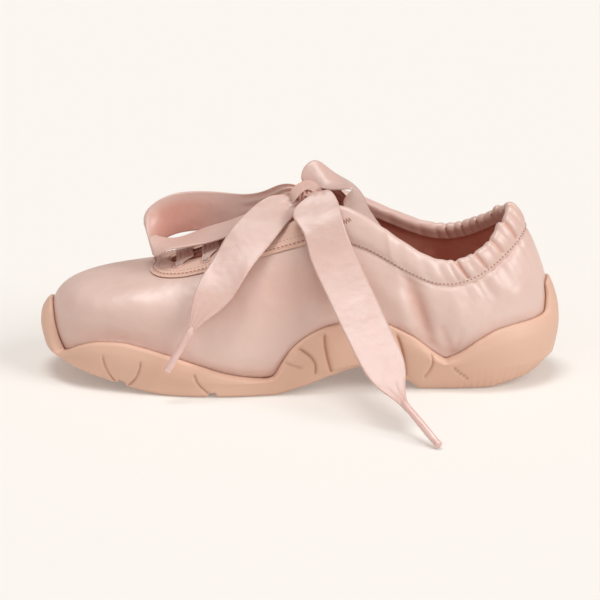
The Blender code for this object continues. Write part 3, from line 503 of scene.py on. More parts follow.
# The bow: two ribbons, each a loop and a tail out of the knot.
ribbon = dict(
    width=21.2, thickness=0.7, steps=420, across=22, pleats=3.0, pleatCap=1.2, pleatFrom=0.72,
    pleatShare=0.55, selvage=0.94, selvageThick=1.25, foldShade=0.8,
    # the pleats wander across by two waves: height in radians, length along the ribbon
    wander=((0.5, 17.0), (0.3, 6.1)),
    # centre line and half the width, x y z each
    front=(
        (2.0, -2.5, 94.6, 0.0, 1.2, 2.6),
        (-4.9, -1.5, 95.5, 0.0, 1.0, 3.6),
        (-15.0, 5.5, 88.7, -0.5, 0.5, 6.0),
        (-29.0, 14.0, 82.2, 0.0, 0.5, 7.4),
        (-41.0, 18.0, 80.6, 0.0, 0.3, 9.0),
        (-52.0, 17.5, 80.0, 0.0, 0.2, 10.2),
        (-63.5, 14.0, 79.4, 0.0, 0.3, 10.6),
        (-72.5, 9.0, 76.6, 0.0, 3.2, 10.1),
        (-77.2, 2.5, 73.0, -2.0, 7.8, 7.2),
        (-75.0, -4.2, 68.8, -2.2, 9.9, 3.6),
        (-69.5, -5.4, 68.6, -0.6, 10.5, 0.6),
        (-62.0, -4.8, 69.3, 0.0, 10.4, -0.4),
        (-49.0, -2.6, 72.2, 0.0, 10.3, 1.0),
        (-35.0, -3.0, 76.8, 0.0, 8.6, 1.4),
        (-20.0, -3.0, 85.1, -0.6, 6.0, 0.4),
        (-4.9, -3.5, 91.6, -0.6, 3.0, 0.2),
        (1.5, -3.8, 91.8, 0.4, 2.4, 0.8),
        (3.6, -5.2, 93.6, 1.6, 1.2, -1.0),
        (0.8, -7.2, 92.6, 1.8, -0.8, -2.4),
        (-2.9, -8.6, 91.4, 2.8, -1.8, -3.6),
        (-9.5, -12.6, 89.9, 4.8, -3.2, -5.2),
        (-17.0, -18.0, 85.0, 6.8, -4.6, -5.2),
        (-26.0, -25.0, 76.6, 8.4, -5.0, -4.2),
        (-34.5, -34.0, 66.0, 8.6, -5.4, -2.2),
        (-42.5, -43.0, 55.0, 8.0, -3.0, -3.4),
        (-48.5, -48.5, 46.5, 5.2, -1.4, -2.2),
        (-54.0, -51.5, 38.0, 1.8, -0.3, -0.7),
        (-56.0, -52.1, 34.6, 1.5, -0.2, -0.6),
    ),
    rear=(
        (1.5, -3.0, 93.6, -0.6, 0.0, 2.2),
        (2.5, -1.0, 95.8, -1.0, 1.7, 2.4),
        (3.4, -0.2, 98.7, -2.6, 2.9, 2.6),
        (6.2, 0.6, 102.2, -3.5, 5.3, 4.3),
        (9.8, 0.5, 103.5, -2.6, 6.9, 5.6),
        (14.9, -1.3, 102.0, -1.2, 8.2, 3.7),
        (21.0, -4.0, 100.5, -0.4, 9.2, 0.7),
        (26.6, -5.5, 98.3, 0.8, 9.5, -1.2),
        (26.9, -6.1, 94.3, 4.2, 8.5, -0.9),
        (28.8, -7.3, 87.3, 5.2, 7.6, 0.2),
        (33.4, -8.5, 79.9, 5.2, 7.6, 0.2),
        (38.0, -9.3, 72.3, 5.0, 7.2, -0.3),
        (38.6, -7.4, 66.8, 3.8, 6.4, -0.9),
        (35.0, -3.1, 66.8, 2.4, 5.0, -0.7),
        (29.8, 1.1, 75.4, 1.6, 4.2, 0.0),
        (24.2, 2.4, 86.6, 1.0, 3.1, 1.3),
        (18.6, 0.4, 92.8, 0.4, 2.8, 2.8),
        (9.8, -3.6, 94.6, 0.2, 2.2, 3.2),
        (3.0, -5.0, 93.0, 1.4, 0.2, 1.4),
        (4.0, -7.0, 95.6, 2.0, 0.2, 0.8),
        (6.4, -9.8, 96.4, 3.6, 0.5, 1.0),
        (9.2, -12.6, 97.4, 5.0, 0.6, 1.4),
        (8.2, -17.0, 94.6, 9.5, 0.7, 2.2),
        (10.6, -29.0, 86.8, 10.1, 1.6, 2.9),
        (15.0, -36.5, 75.0, 10.2, 2.6, 2.8),
        (20.5, -45.0, 64.0, 10.3, 3.0, 2.8),
        (28.5, -58.5, 50.0, 10.3, 3.0, 2.8),
        (37.0, -74.5, 36.0, 9.8, 3.4, 3.2),
        (44.5, -90.0, 24.5, 7.2, 3.6, 2.8),
        (50.5, -101.5, 16.0, 1.8, 0.9, 0.6),
        (52.6, -104.6, 13.9, 1.5, 0.7, 0.5),
    ),
    frontAglet=((-54.2, -51.8, 37.6), (-66.5, -54.0, 16.5)),
    rearAglet=((50.7, -101.9, 15.7), (67.0, -124.0, 2.0)),
    agletRadius=1.9, agletAround=28, agletRings=70, agletFolds=5, agletFoldDepth=0.05, agletTwist=4.0,
    # share of the aglet's length, share of its radius
    agletProfile=((-0.06, 0.55), (-0.02, 0.72), (0.03, 0.92), (0.08, 1.0), (0.1, 0.93), (0.16, 0.97),
                  (0.9, 1.0), (0.93, 0.94), (0.95, 1.04), (0.985, 1.04), (1.0, 0.85), (1.005, 0.45)),
    # row of the ribbon, how far the pleats stand there
    frontDrawn=((0.0, 0.8), (18.0, 0.8), (21.0, 0.5), (24.0, 0.3), (27.0, 0.3)),
    rearDrawn=((0.0, 0.3), (3.0, 0.1), (10.0, 0.1), (12.0, 0.6), (18.0, 0.6), (20.0, 0.4), (22.0, 0.2),
               (25.0, 0.4), (30.0, 0.3)),
    # painted shades and glows: first, full and last row, face (0 is both), across from and to, share
    frontShades=((3.0, 6.6, 8.6, -1.0, -2.0, 0.6, 0.5), (14.5, 16.0, 17.0, 0.0, -2.0, 2.0, 0.9),
                 (17.0, 18.2, 19.6, 0.0, 0.2, 2.0, 0.6)),
    rearShades=((7.4, 8.2, 12.0, -1.0, -2.0, 2.0, 0.55), (10.0, 12.0, 19.0, 0.0, -2.0, 2.0, 1.0)),
)


# A flat ribbon: a lens-thin section carried along the centre line on its half-width direction.
# Where it is narrower than the full ribbon, its cloth stands in pleats whose height keeps its length.
def ribbonNet(rows, fullHalf, steps, pleats, phase=0.0, thickness=ribbon["thickness"], cap=ribbon["pleatCap"],
              drawn=((0.0, 1.0), (99.0, 1.0))):
    rows = np.array(rows, float)
    knots = runAlong(rows[:, :3])
    run = np.linspace(0.0, knots[-1], steps)
    fine = curveThrough(knots, rows, run)
    centre, half = fine[:, :3], fine[:, 3:]
    forward = unit(np.gradient(centre, axis=0))
    width = np.linalg.norm(half, axis=1)
    side = half / width[:, None]
    normal = unit(np.cross(forward, side))
    v = np.linspace(-1.0, 1.0, ribbon["across"] + 1)
    ratio = np.maximum(ribbon["pleatFrom"] * fullHalf / width, 1.0)
    spare = np.sqrt(2.0 * (ratio ** 2 - 1.0)) * ribbon["pleatShare"]
    height = np.minimum(width / (math.pi * pleats) * spare, cap)
    height *= smoothTable(drawn, np.interp(run, knots, np.arange(len(rows))))
    (firstHeight, firstLength), (secondHeight, secondLength) = ribbon["wander"]
    wander = phase + firstHeight * np.sin(run / firstLength + phase)
    wander = wander + secondHeight * np.sin(run / secondLength)
    wave = np.sin(math.pi * pleats * v[None, :] + wander[:, None]) * height[:, None]
    thick = 0.5 * thickness * np.where(np.abs(v) > ribbon["selvage"], ribbon["selvageThick"], 1.0)
    around = np.concatenate([v, v[::-1]])
    offset = np.concatenate([wave + thick, wave[:, ::-1] - thick[::-1]], axis=1)
    sections = (centre[:, None] + side[:, None] * (width[:, None] * around[None])[..., None]
                + normal[:, None] * offset[..., None])
    points, quads = tubeNet(sections)
    # for the painted shade and the threads: run, row, place across, face and pleat height at each point
    whole = np.ones((steps, len(around)))
    row = np.interp(run, knots, np.arange(len(rows)))
    face = np.concatenate([np.ones(len(v)), -np.ones(len(v))])
    return points, quads, centre, dict(run=run[:, None] * whole, row=row[:, None] * whole, v=around * whole,
                                       face=face * whole, wave=np.concatenate([wave, wave[:, ::-1]], axis=1))


# One value for each point of a swept piece, with the two cap middles added.
def withCaps(values):
    return np.concatenate([values.ravel(), [values[0].mean(), values[-1].mean()]])


# A ribbon out of the knot to its aglet. It is painted darker in the valleys of its pleats and inside the
# shades, each of which fades in and out along and across: painted shade, and painted glow of light through
# the cloth.
def addRibbon(name, which, nodes, phase):
    points, quads, centre, net = ribbonNet(ribbon[which], 0.5 * ribbon["width"], ribbon["steps"],
                                           ribbon["pleats"], phase=phase, drawn=ribbon[which + "Drawn"])
    # painted shade in the valleys of the pleats, then the painted shades and glows
    paintedShade = np.clip(-net["wave"] * net["face"] / ribbon["pleatCap"], 0.0, 1.0) * ribbon["foldShade"]
    row, v = net["row"], net["v"]
    for start, middle, end, face, lowest, highest, share in ribbon[which + "Shades"]:
        there = smoothStep((row - start) / (middle - start)) * smoothStep((end - row) / (end - middle))
        across = smoothStep((v - lowest) / 0.5 + 0.5) * smoothStep((highest - v) / 0.5 + 0.5)
        paintedShade = np.maximum(paintedShade, there * across * (net["face"] * face >= 0) * share)
    piece = makePiece(name, points, quads, "ribbon", "ribbon", nodes, dict(
        paintedShade=np.clip(withCaps(paintedShade), 0, 1), along=withCaps(net["run"])))


# An aglet: the gathered end in a round wrap with shallow lengthwise folds and a rim at its tip.
# Its radius is the profile's share, times 1 plus a sine round it that twists along it.
def addAglet(name, ends, node):
    start, tip = (np.array(end) for end in ends)
    profile = ribbon["agletProfile"]
    even = np.linspace(profile[0][0], profile[-1][0], ribbon["agletRings"])
    share = np.unique(np.concatenate([even, [row[0] for row in profile]]))
    radius = smoothTable(profile, share) * ribbon["agletRadius"]
    turn = np.arange(ribbon["agletAround"]) * 2 * math.pi / ribbon["agletAround"]
    twisted = ribbon["agletFolds"] * turn[None] + ribbon["agletTwist"] * share[:, None]
    folds = 1.0 + ribbon["agletFoldDepth"] * np.sin(twisted) * smoothStep((0.93 - share[:, None]) / 0.1)
    spokes = spokesRound(unit(tip - start), turn)[None] * (radius[:, None] * folds)[..., None]
    sections = start + (tip - start) * share[:, None, None] + spokes
    points, quads = tubeNet(sections)
    return makePiece(name, points, quads, "aglet", "aglet", (node,))


frontAglet = addAglet("frontAglet", ribbon["frontAglet"], "aglet_front")
rearAglet = addAglet("rearAglet", ribbon["rearAglet"], "aglet_rear")
addRibbon("frontRibbon", "front", ("bow_loop_front", "ribbon_tail_front"), 0.4)
addRibbon("rearRibbon", "rear", ("bow_loop_rear", "ribbon_tail_rear"), 1.9)

knot = dict(
    centre=(2.0, -3.5, 94.0), radii=(6.0, 5.6, 5.2), around=72, steps=49, folds=5.0, foldHeight=0.5,
    lean=(0.22, 0.1), turnHeight=0.35, valleyShade=0.6, ballShade=0.3,
    # the last turn over the knot: centre line and half the width
    wrap=((-3.4, -5.0, 89.4, 0.4, -1.0, -1.4), (-4.4, -8.2, 92.0, 0.6, -1.2, -1.6),
          (-3.2, -9.0, 95.6, 1.4, -1.0, -1.8), (0.6, -7.8, 99.2, 1.0, -0.9, -2.0),
          (4.6, -6.8, 100.2, -0.4, -1.0, -2.2), (8.2, -7.0, 98.0, -1.4, -0.9, -1.6),
          (9.6, -6.2, 94.0, -1.4, -0.7, -1.1)),
    wrapHalf=3.2, wrapSteps=80, wrapThickness=0.9, wrapCap=0.5, wrapShade=0.1,
)


# The knot: a ball whose wraps run round it from front to back, with folds across its length, and the
# last turn over it. The ball's radius is a rounded belly, plus sines along and round it.
def addKnot():
    turn = np.linspace(0.0, 2 * math.pi, knot["around"], endpoint=False)[None, :]
    share = np.linspace(-1.0, 1.0, knot["steps"])[:, None]
    belly = np.sqrt(np.clip(1.0 - share ** 2, 0.0, 1.0)) ** 0.8
    lean = share + knot["lean"][0] * np.sin(turn) + knot["lean"][1] * np.sin(2 * turn + 1.0)
    folds = np.sin(knot["folds"] * math.pi * lean) * knot["foldHeight"] * belly
    turns = knot["turnHeight"] * np.sin(2 * turn + 3.0 * share) * belly
    radii = np.array(knot["radii"])
    radius = belly + (folds + turns) / radii[1]
    points = np.stack([share * radii[0] * np.ones_like(turn), radius * np.cos(turn) * radii[1],
                       radius * np.sin(turn) * radii[2]], axis=-1) + np.array(knot["centre"])
    valley = withCaps(np.clip(-folds / knot["foldHeight"], 0, 1) * np.ones_like(turn))
    wrap, wrapQuads, _, net = ribbonNet(knot["wrap"], knot["wrapHalf"], knot["wrapSteps"], 1.0, phase=0.6,
                                        thickness=knot["wrapThickness"], cap=knot["wrapCap"])
    # painted shade: darker in the valleys of the folds, the whole ball a little darker, the last turn
    # slightly
    paintedShade = [valley * knot["valleyShade"] + knot["ballShade"], np.full(len(wrap), knot["wrapShade"])]
    along = [withCaps(10.0 * share * np.ones_like(turn)), withCaps(net["run"])]
    makePiece("knotWrap", *joinNets([tubeNet(points), (wrap, wrapQuads)]), "ribbon", "ribbon",
              ("bow_knot",), dict(paintedShade=np.concatenate(paintedShade), along=np.concatenate(along)))


addKnot()


# The sole.
sole = dict(
    columns=1500, across=14, treadInset=9.0, chamfer=0.6, treadHalfWidth=36.0, cornerSteps=(0.25, 0.5, 0.75),
    cornerIn=0.4, sideSteps=9, wallSteps=28, wallCrowding=1.5, wallShare=0.85, lipRound=1.6,
    traySteps=(0.66, 0.33, 0.0), plainToe=20.0, shadeFrom=0.25, shadeMost=0.9, shadeShare=0.85,
    # angle, height of the rubber's top edge, thickness of the side, thickness of its lip
    edge=(
        (0.0, 37.5, 5.9, 0.9), (4.0, 37.0, 5.9, 0.9), (8.5, 33.5, 5.9, 1.0), (12.5, 26.5, 5.9, 1.2),
        (16.0, 19.0, 5.8, 1.6), (18.0, 16.5, 5.6, 1.8), (20.5, 17.3, 5.4, 1.8), (28.0, 22.0, 5.0, 1.8),
        (35.0, 25.3, 5.0, 1.8), (42.0, 26.0, 5.0, 1.8), (50.0, 24.0, 5.0, 1.8), (58.0, 20.5, 5.0, 1.8),
        (66.0, 16.0, 4.9, 1.8), (73.0, 11.6, 4.8, 1.8), (78.0, 9.6, 4.7, 1.8), (82.0, 8.8, 4.6, 1.8),
        (83.6, 9.8, 4.5, 1.8), (85.5, 16.5, 4.4, 1.8), (87.5, 23.5, 4.2, 1.8), (90.0, 28.5, 4.0, 1.8),
        (94.2, 33.5, 3.8, 1.8), (98.0, 36.0, 3.8, 1.8), (103.0, 37.2, 3.8, 1.8), (108.0, 37.3, 3.8, 1.8),
        (117.0, 30.0, 4.4, 1.8), (124.3, 18.8, 5.0, 1.8), (126.0, 17.2, 5.2, 1.8), (127.7, 18.4, 5.3, 1.8),
        (138.0, 27.3, 5.6, 1.8), (146.5, 32.0, 5.6, 1.8), (154.0, 33.6, 5.6, 1.8), (163.0, 34.4, 5.6, 1.7),
        (169.0, 35.5, 5.5, 1.5), (172.5, 42.0, 5.3, 1.2), (174.5, 48.5, 5.2, 1.0), (177.0, 50.0, 5.1, 0.9),
        (180.0, 50.3, 5.1, 0.9),
    ),
    # x, height of the underside
    underside=(
        (-128.0, 13.6), (-119.0, 10.4), (-112.0, 8.6), (-103.0, 6.6), (-95.0, 4.8), (-84.0, 2.4),
        (-73.0, 0.6), (-65.0, 0.0), (-15.0, 0.0), (0.0, 3.0), (15.0, 8.0), (31.0, 12.0), (42.0, 10.5),
        (54.0, 4.5), (62.0, 0.0), (95.0, 0.0), (105.0, 2.0), (115.0, 4.2), (122.0, 6.6), (128.0, 9.0),
    ),
    # angle, how far the ground edge stands outside the feather line
    flare=(
        (0.0, 0.0), (22.0, 1.0), (45.0, 2.0), (70.0, 2.6), (90.0, 1.0), (112.0, -1.5),
        (135.0, -2.5), (158.0, -2.0), (180.0, -1.5),
    ),
    # share of the side's height, share of the thickness
    fullness=((0.0, 0.98), (0.3, 1.0), (0.62, 0.82), (0.88, 0.42), (1.0, 0.2)),
    # channels across the tread: x, half width, depth, share of the depth at the side
    channels=((-90.0, 2.2, 1.8, 1.0), (-68.0, 1.8, 1.5, 0.0), (-44.0, 2.4, 1.8, 1.0), (-25.0, 1.8, 1.5, 0.0),
              (72.0, 1.8, 1.5, 0.0), (90.0, 1.8, 1.5, 0.0)), channelSlope=0.3,
    # teeth of the ground edge: from x, to x, height
    teeth=((78.0, 120.0, 0.4), (-122.0, -101.0, 0.35)),
    toothPitch=3.2, toothHalf=0.22, toothSlope=0.6, toothFade=2.0,
    sipePitch=5.6, sipeDepth=0.7, sipeCurve=0.004, sipeHalf=0.13, sipeSlope=0.5,
    # lines moulded in the side: points x z, half width, depth, step behind the line
    lines=(
        (((-100.0, 21.0), (-98.0, 13.0), (-94.5, 7.0), (-90.5, 2.5)), 0.55, 0.9, 0.25),
        (((-80.0, 19.5), (-81.0, 13.0), (-84.0, 7.0), (-88.5, 2.5)), 0.55, 0.9, 0.25),
        (((-53.5, 14.0), (-51.5, 8.0), (-46.0, 2.2)), 0.55, 0.9, 0.25),
        (((-1.9, 25.4), (4.6, 21.0), (7.5, 16.5), (7.6, 10.2)), 0.6, 1.1, 0.5),
        (((-8.5, 18.0), (-3.5, 16.2), (1.5, 14.7)), 0.5, 0.6, 0.0),
        (((12.4, 34.0), (12.4, 27.5), (13.2, 21.6), (15.8, 10.7)), 0.6, 1.2, 0.8),
        (((47.5, 32.5), (50.2, 26.0), (51.8, 19.8), (53.2, 7.1)), 0.65, 1.3, 0.8),
        (((43.0, 27.0), (46.2, 24.8), (49.5, 23.6)), 0.5, 0.6, 0.0),
        (((65.4, 21.6), (66.8, 17.0), (65.9, 12.4), (62.4, 6.6)), 0.6, 0.9, 0.35),
        (((76.3, 14.5), (80.2, 10.2), (85.0, 6.3)), 0.6, 0.9, 0.4),
    ),
    lineSteps=40, lineReach=(8.0, 5.0), fadeIn=0.18, fadeOut=0.1, shelfLength=2.5,
)


# Depth of the lines at points x z: a bell across each line, faded at its ends, and a step behind it.
def sideRelief(x, z):
    total = np.zeros_like(x)
    for line, halfWidth, depth, step in sole["lines"]:
        line = np.array(line)
        knots = runAlong(line)
        fine = curveThrough(knots, line, np.linspace(0.0, knots[-1], sole["lineSteps"]))
        lowX, lowZ = fine.min(axis=0) - sole["lineReach"]
        highX, highZ = fine.max(axis=0) + sole["lineReach"]
        near = (x > lowX) & (x < highX) & (z > lowZ) & (z < highZ)
        if not near.any():
            continue
        a, b = fine[:-1], fine[1:]
        place = np.stack([x[near], z[near]], axis=-1)[:, None]
        share = np.clip(np.einsum("nkj,kj->nk", place - a, b - a) / ((b - a) ** 2).sum(1), 0, 1)
        away = place - (a + (b - a) * share[..., None])
        gap = np.linalg.norm(away, axis=-1)
        which = gap.argmin(axis=1)
        row = np.arange(len(which))
        distance = gap[row, which]
        turn = (b - a)[which]
        behind = np.sign(turn[:, 0] * away[row, which, 1] - turn[:, 1] * away[row, which, 0])
        along = (which + share[row, which]) / len(a)
        fade = smoothStep(along / sole["fadeIn"]) * smoothStep((1.04 - along) / sole["fadeOut"])
        bell = np.exp(-(distance / halfWidth) ** 2)
        shelf = (behind > 0) * np.exp(-distance / sole["shelfLength"]) * (1 - bell)
        total[near] += fade * (depth * bell + step * shelf)
    return total


# Depth of the tread's cuts, the deepest of three at each place: flat channels with sloped sides at
# their x, teeth that repeat by the pitch between two x, and curved sipes where middle is above 0.
def treadDepth(x, y, middle=0.0):
    cut = np.zeros_like(x)
    for channel, halfWidth, depth, atSide in sole["channels"]:
        depth = depth * (atSide + (1.0 - atSide) * middle)
        slope = smoothStep((1.0 - np.abs(x - channel) / halfWidth) / sole["channelSlope"])
        cut = np.maximum(cut, depth * slope)
    for first, final, height in sole["teeth"]:
        phase = np.mod((x - first) / sole["toothPitch"], 1.0)
        tooth = height * smoothStep((1.0 - np.abs(phase - 0.5) / sole["toothHalf"]) / sole["toothSlope"])
        ends = smoothStep((x - first) / sole["toothFade"]) * smoothStep((final - x) / sole["toothFade"])
        cut = np.maximum(cut, tooth * ends)
    wave = np.mod((x + sole["sipeCurve"] * y * y) / sole["sipePitch"], 1.0)
    sipe = smoothStep((1.0 - np.abs(wave - 0.5) / sole["sipeHalf"]) / sole["sipeSlope"])
    sipe = middle * sole["sipeDepth"] * sipe
    return np.maximum(cut, sipe)


# The cup sole: a stack of rings from the tread round the ground edge, up the side and down the tray.
def addSole():
    gap, radius = last["soleGap"], last["edgeRadius"]
    angles = np.arange(sole["columns"]) * 360.0 / sole["columns"]
    folded = foldAngle(angles)
    topHeight, thick, lip = (smoothTable(sole["edge"], folded, column=k) for k in (1, 2, 3))
    topRise = riseAtHeight(angles, topHeight)
    foot, away = featherLine(angles)
    flare = smoothTable(sole["flare"], folded)

    # a ring this far outside the feather line, lifted off the underside and cut by the tread
    def level(out, lift):
        place = foot + away * out[:, None]
        place[:, 2] = smoothTable(sole["underside"], place[:, 0]) + lift
        place[:, 2] += treadDepth(place[:, 0], place[:, 1])
        return place

    # the bottom's rim, rounded into the side by a quadratic Bezier
    inner, tread = level(flare - sole["treadInset"], 0.0), level(flare - radius - sole["chamfer"], 0.0)
    edge = flare + 0.5 * thick
    corner, side = level(edge - sole["cornerIn"], 0.0), level(edge, radius)
    rings = [inner, tread]
    for t in sole["cornerSteps"]:
        rings.append((1 - t) ** 2 * tread + 2 * t * (1 - t) * corner + t * t * side)
    full = last["gap"] + lip + (thick - lip) * sole["fullness"][0][1]
    low = offUpper(angles, 0.0, full)
    firstSide = len(rings)
    for t in np.arange(sole["sideSteps"]) / sole["sideSteps"]:
        rings.append(side + (low - side) * t)
    # the wall's rings lie closer towards its lip, which is a quarter round
    for s in 1.0 - np.linspace(1.0, 0.0, sole["wallSteps"]) ** sole["wallCrowding"]:
        full = last["gap"] + lip + (thick - lip) * smoothTable(sole["fullness"], s)
        below = (1.0 - s) * topHeight * sole["wallShare"]
        inLip = np.clip(below / np.minimum(lip, sole["lipRound"]), 0, 1)
        roundness = np.sqrt(np.clip(1.0 - (1.0 - inLip) ** 2, 0, 1))
        rings.append(offUpper(angles, topRise * s, gap + (full - gap) * roundness))
    relief = np.array([sideRelief(ring[:, 0], ring[:, 2]) for ring in rings[firstSide:]])
    relief *= (folded > sole["plainToe"])[None]
    rings[firstSide:] = [ring - away * depth[:, None] for ring, depth in zip(rings[firstSide:], relief)]
    for s in sole["traySteps"]:
        rings.append(offUpper(angles, topRise * s, gap))
    rings[-1][:, 2] = foot[:, 2] - last["gap"]

    # the tread's height between its edges, where the channels and sipes are full depth
    def bottom(place):
        middle = smoothStep((1.0 - np.abs(place[:, 1]) / sole["treadHalfWidth"]) * 3.0)
        return smoothTable(sole["underside"], place[:, 0]) + treadDepth(place[:, 0], place[:, 1], middle)

    points, quads = stackRings(rings, sole["across"], bottom)
    # painted shade in the moulded lines of the side, by their depth
    paintedShade = np.zeros(len(points))
    start = firstSide * len(angles)
    shade = np.clip(relief - sole["shadeFrom"], 0, sole["shadeMost"]) * sole["shadeShare"]
    paintedShade[start:start + relief.size] = shade.ravel()
    makePiece("outsole", points, quads, "rubber", "rubber", ("sole",), dict(paintedShade=paintedShade))
    return angles, topRise


soleAngles, soleTopRise = addSole()


# The upper.
eyestay = dict(
    # angle, width of the band below the throat edge
    width=((0.0, 8.5), (15.0, 12.0), (30.0, 15.5), (45.0, 16.5), (67.0, 15.5), (90.0, 13.5), (100.0, 11.0)),
    end=99.5, steps=460, sectionPoints=44,
    # the band's section: share of the width, millimetres beside it, distance outside the upper
    section=((1.0, 0.0, 0.45), (1.0, 0.1, 1.0), (1.0, -0.5, 1.5), (1.0, -1.4, 1.62),
             (0.66, 0.0, 1.72), (0.33, 0.0, 1.72), (0.0, 1.4, 1.68), (0.0, 0.4, 1.45),
             (0.0, -0.2, 1.0), (0.0, -0.2, 0.45), (0.3, 0.0, 0.45), (0.7, 0.0, 0.45)),
    valleyDepth=0.18, valleyIn=1.5, valleyHalf=0.7,
)
casing = dict(
    start=101.5, full=12.0, steps=940, around=60,
    # the band's section: depth below the edge, distance outside the upper; the second part starts from
    # the lining
    outerSection=((12.3, -0.1), (12.1, 0.2), (10.6, 0.9), (7.5, 1.9), (4.0, 2.35), (1.0, 2.2),
                  (-1.1, 1.2), (-1.9, -0.8), (-0.8, -2.8)),
    innerSection=((1.2, -1.3), (3.6, -1.35), (5.8, -1.2), (5.9, 0.0), (3.0, 0.0), (-0.3, 0.3)),
    closing=((-0.5, -0.9), (-0.3, 0.45), (6.0, 0.45)),
    bulge=0.35, outerShare=0.95, innerShare=0.85, rimShare=0.6, gatherShade=0.6, insideShade=0.45,
    # fade by distance; where the outer and the inner face end, each with its fade by depth
    faceFades=(0.6, 11.6, 2.5, 6.4, 2.0),
    # angle, height of the band
    height=((101.5, 14.0), (110.0, 15.0), (120.0, 15.3), (130.0, 13.8), (140.0, 11.5), (150.0, 10.5),
            (160.0, 10.8), (170.0, 11.5), (180.0, 12.0)),
    # angle round the heel, how far the rim stands above its own edge
    rim=((101.5, 3.0), (106.0, 2.6), (112.0, 1.2), (120.0, 0.0), (150.0, 0.0), (158.0, -0.4),
         (163.0, 0.2), (166.5, 1.6), (169.5, 0.2), (174.0, 0.9), (180.0, 1.3), (186.0, 0.4),
         (190.0, -0.6), (193.5, 0.9), (198.0, -0.4), (206.0, 0.3), (215.0, 0.0), (240.0, 0.0),
         (248.0, 1.2), (254.0, 2.6), (258.5, 3.0)),
    # gathers: angle, half width in degrees, depth, lean in degrees over the band's height
    gathers=(
        (120.5, 1.0, -0.45, 0.5), (124.0, 1.6, 0.35, 0.5), (132.0, 2.0, 0.5, 1.5), (138.0, 1.6, 0.5, 2.2),
        (142.5, 0.8, 0.5, 2.4), (146.5, 0.9, 1.8, 3.4), (150.5, 1.2, 0.45, 2.6), (154.5, 0.8, 1.5, 3.2),
        (158.5, 1.1, 0.4, 2.4), (162.0, 0.8, 1.3, 2.6), (165.5, 1.0, 0.5, 1.8), (169.5, 0.8, 1.7, 1.2),
        (174.5, 1.3, 0.6, 0.6), (179.0, 0.9, 1.2, 0.0), (183.5, 1.1, 0.6, 0.0), (187.5, 0.8, 1.5, -0.4),
        (191.5, 0.9, 0.8, -0.8), (195.5, 0.8, 1.5, -1.2), (199.5, 0.8, 0.7, -1.4), (203.0, 0.6, 1.4, -1.8),
        (206.5, 0.7, 0.6, -1.8), (210.0, 0.6, 1.4, -2.0), (213.5, 0.8, 0.7, -1.6), (217.0, 0.6, 1.2, -1.8),
        (221.0, 0.9, 0.5, -1.4), (227.0, 1.4, 0.4, -1.0), (238.0, 1.4, 0.3, 0.0),
    ),
)


# Gathers at an angle and a share of the band's height: bells whose middles lean with the height.
def gatherDepth(angle, share):
    total = np.zeros(np.broadcast_shapes(np.shape(angle), np.shape(share)))
    for place, halfWidth, depth, lean in casing["gathers"]:
        total += depth * np.exp(-((angle - place - lean * (share - 0.5)) / halfWidth) ** 2)
    return total


upper = dict(
    columns=700, rises=92, innerRises=40,
    # creases: side, start x z, end x z, half width, depth (a minus stands out)
    creases=(
        (-1, (53.5, 62.0), (62.0, 34.0), 5.0, 3.2),
        (-1, (60.0, 44.0), (66.0, 26.0), 2.6, 1.3),
        (-1, (76.0, 54.0), (81.0, 32.0), 6.0, -1.2),
        (-1, (51.0, 60.0), (54.0, 36.0), 5.0, -0.9),
        (-1, (33.0, 62.0), (60.0, 34.0), 6.0, -1.1),
        (-1, (88.0, 62.0), (97.0, 48.0), 2.4, 0.8),
        (-1, (96.0, 68.0), (107.0, 52.0), 2.6, 0.8),
        (-1, (104.0, 58.0), (112.0, 36.0), 9.0, -0.9),
        (-1, (77.5, 17.0), (71.5, 33.0), 2.2, 0.9),
        (-1, (78.0, 17.5), (80.5, 32.0), 2.0, 0.6),
        (-1, (79.0, 18.5), (91.0, 29.0), 2.6, 0.5),
        (-1, (75.5, 19.0), (61.0, 27.5), 2.4, 0.6),
        (-1, (27.0, 45.0), (12.0, 55.0), 7.0, 0.7),
        (-1, (10.0, 46.0), (22.0, 38.0), 6.0, -0.5),
        (-1, (-118.0, 42.0), (-52.0, 44.0), 7.0, -1.3),
        (-1, (-118.0, 30.0), (-70.0, 26.0), 6.0, 0.9),
        (-1, (-28.0, 52.0), (8.0, 58.0), 12.0, 1.2),
        (-1, (-52.0, 18.0), (-8.0, 20.0), 9.0, -1.3),
        (-1, (92.0, 50.0), (118.0, 56.0), 14.0, -1.4),
        (1, (66.0, 56.0), (69.0, 32.0), 4.6, 1.8),
        (1, (79.0, 56.0), (83.0, 38.0), 6.0, -0.8),
        (1, (55.0, 60.0), (58.0, 36.0), 5.0, -0.7),
        (1, (35.0, 60.0), (66.0, 26.0), 8.0, -0.8),
        (1, (76.5, 19.0), (75.0, 28.0), 1.4, 0.5),
        (1, (20.0, 45.0), (6.0, 56.0), 7.0, 0.5),
    ),
    fadeLength=5.0, foldFade=1.2, puff=0.45, puffReach=16.0, pinch=0.55, pinchLength=5.0, waveHeight=0.10,
    # the seam is a dark line at the rubber's edge and under it, partly its own colour and partly painted
    # shade of the gap
    # the seam at the rubber: its half width, and on the toe tab the angle and share where it is thin
    seamHalf=0.32, thinTo=14.0, thinFade=6.0, thinShare=0.25,
    # painted shade: in the creases by their depth, up to the most, and near the rubber over the shade length
    creaseShade=0.2, mostShade=0.45, seamShade=0.2, shadeLength=4.0,
)


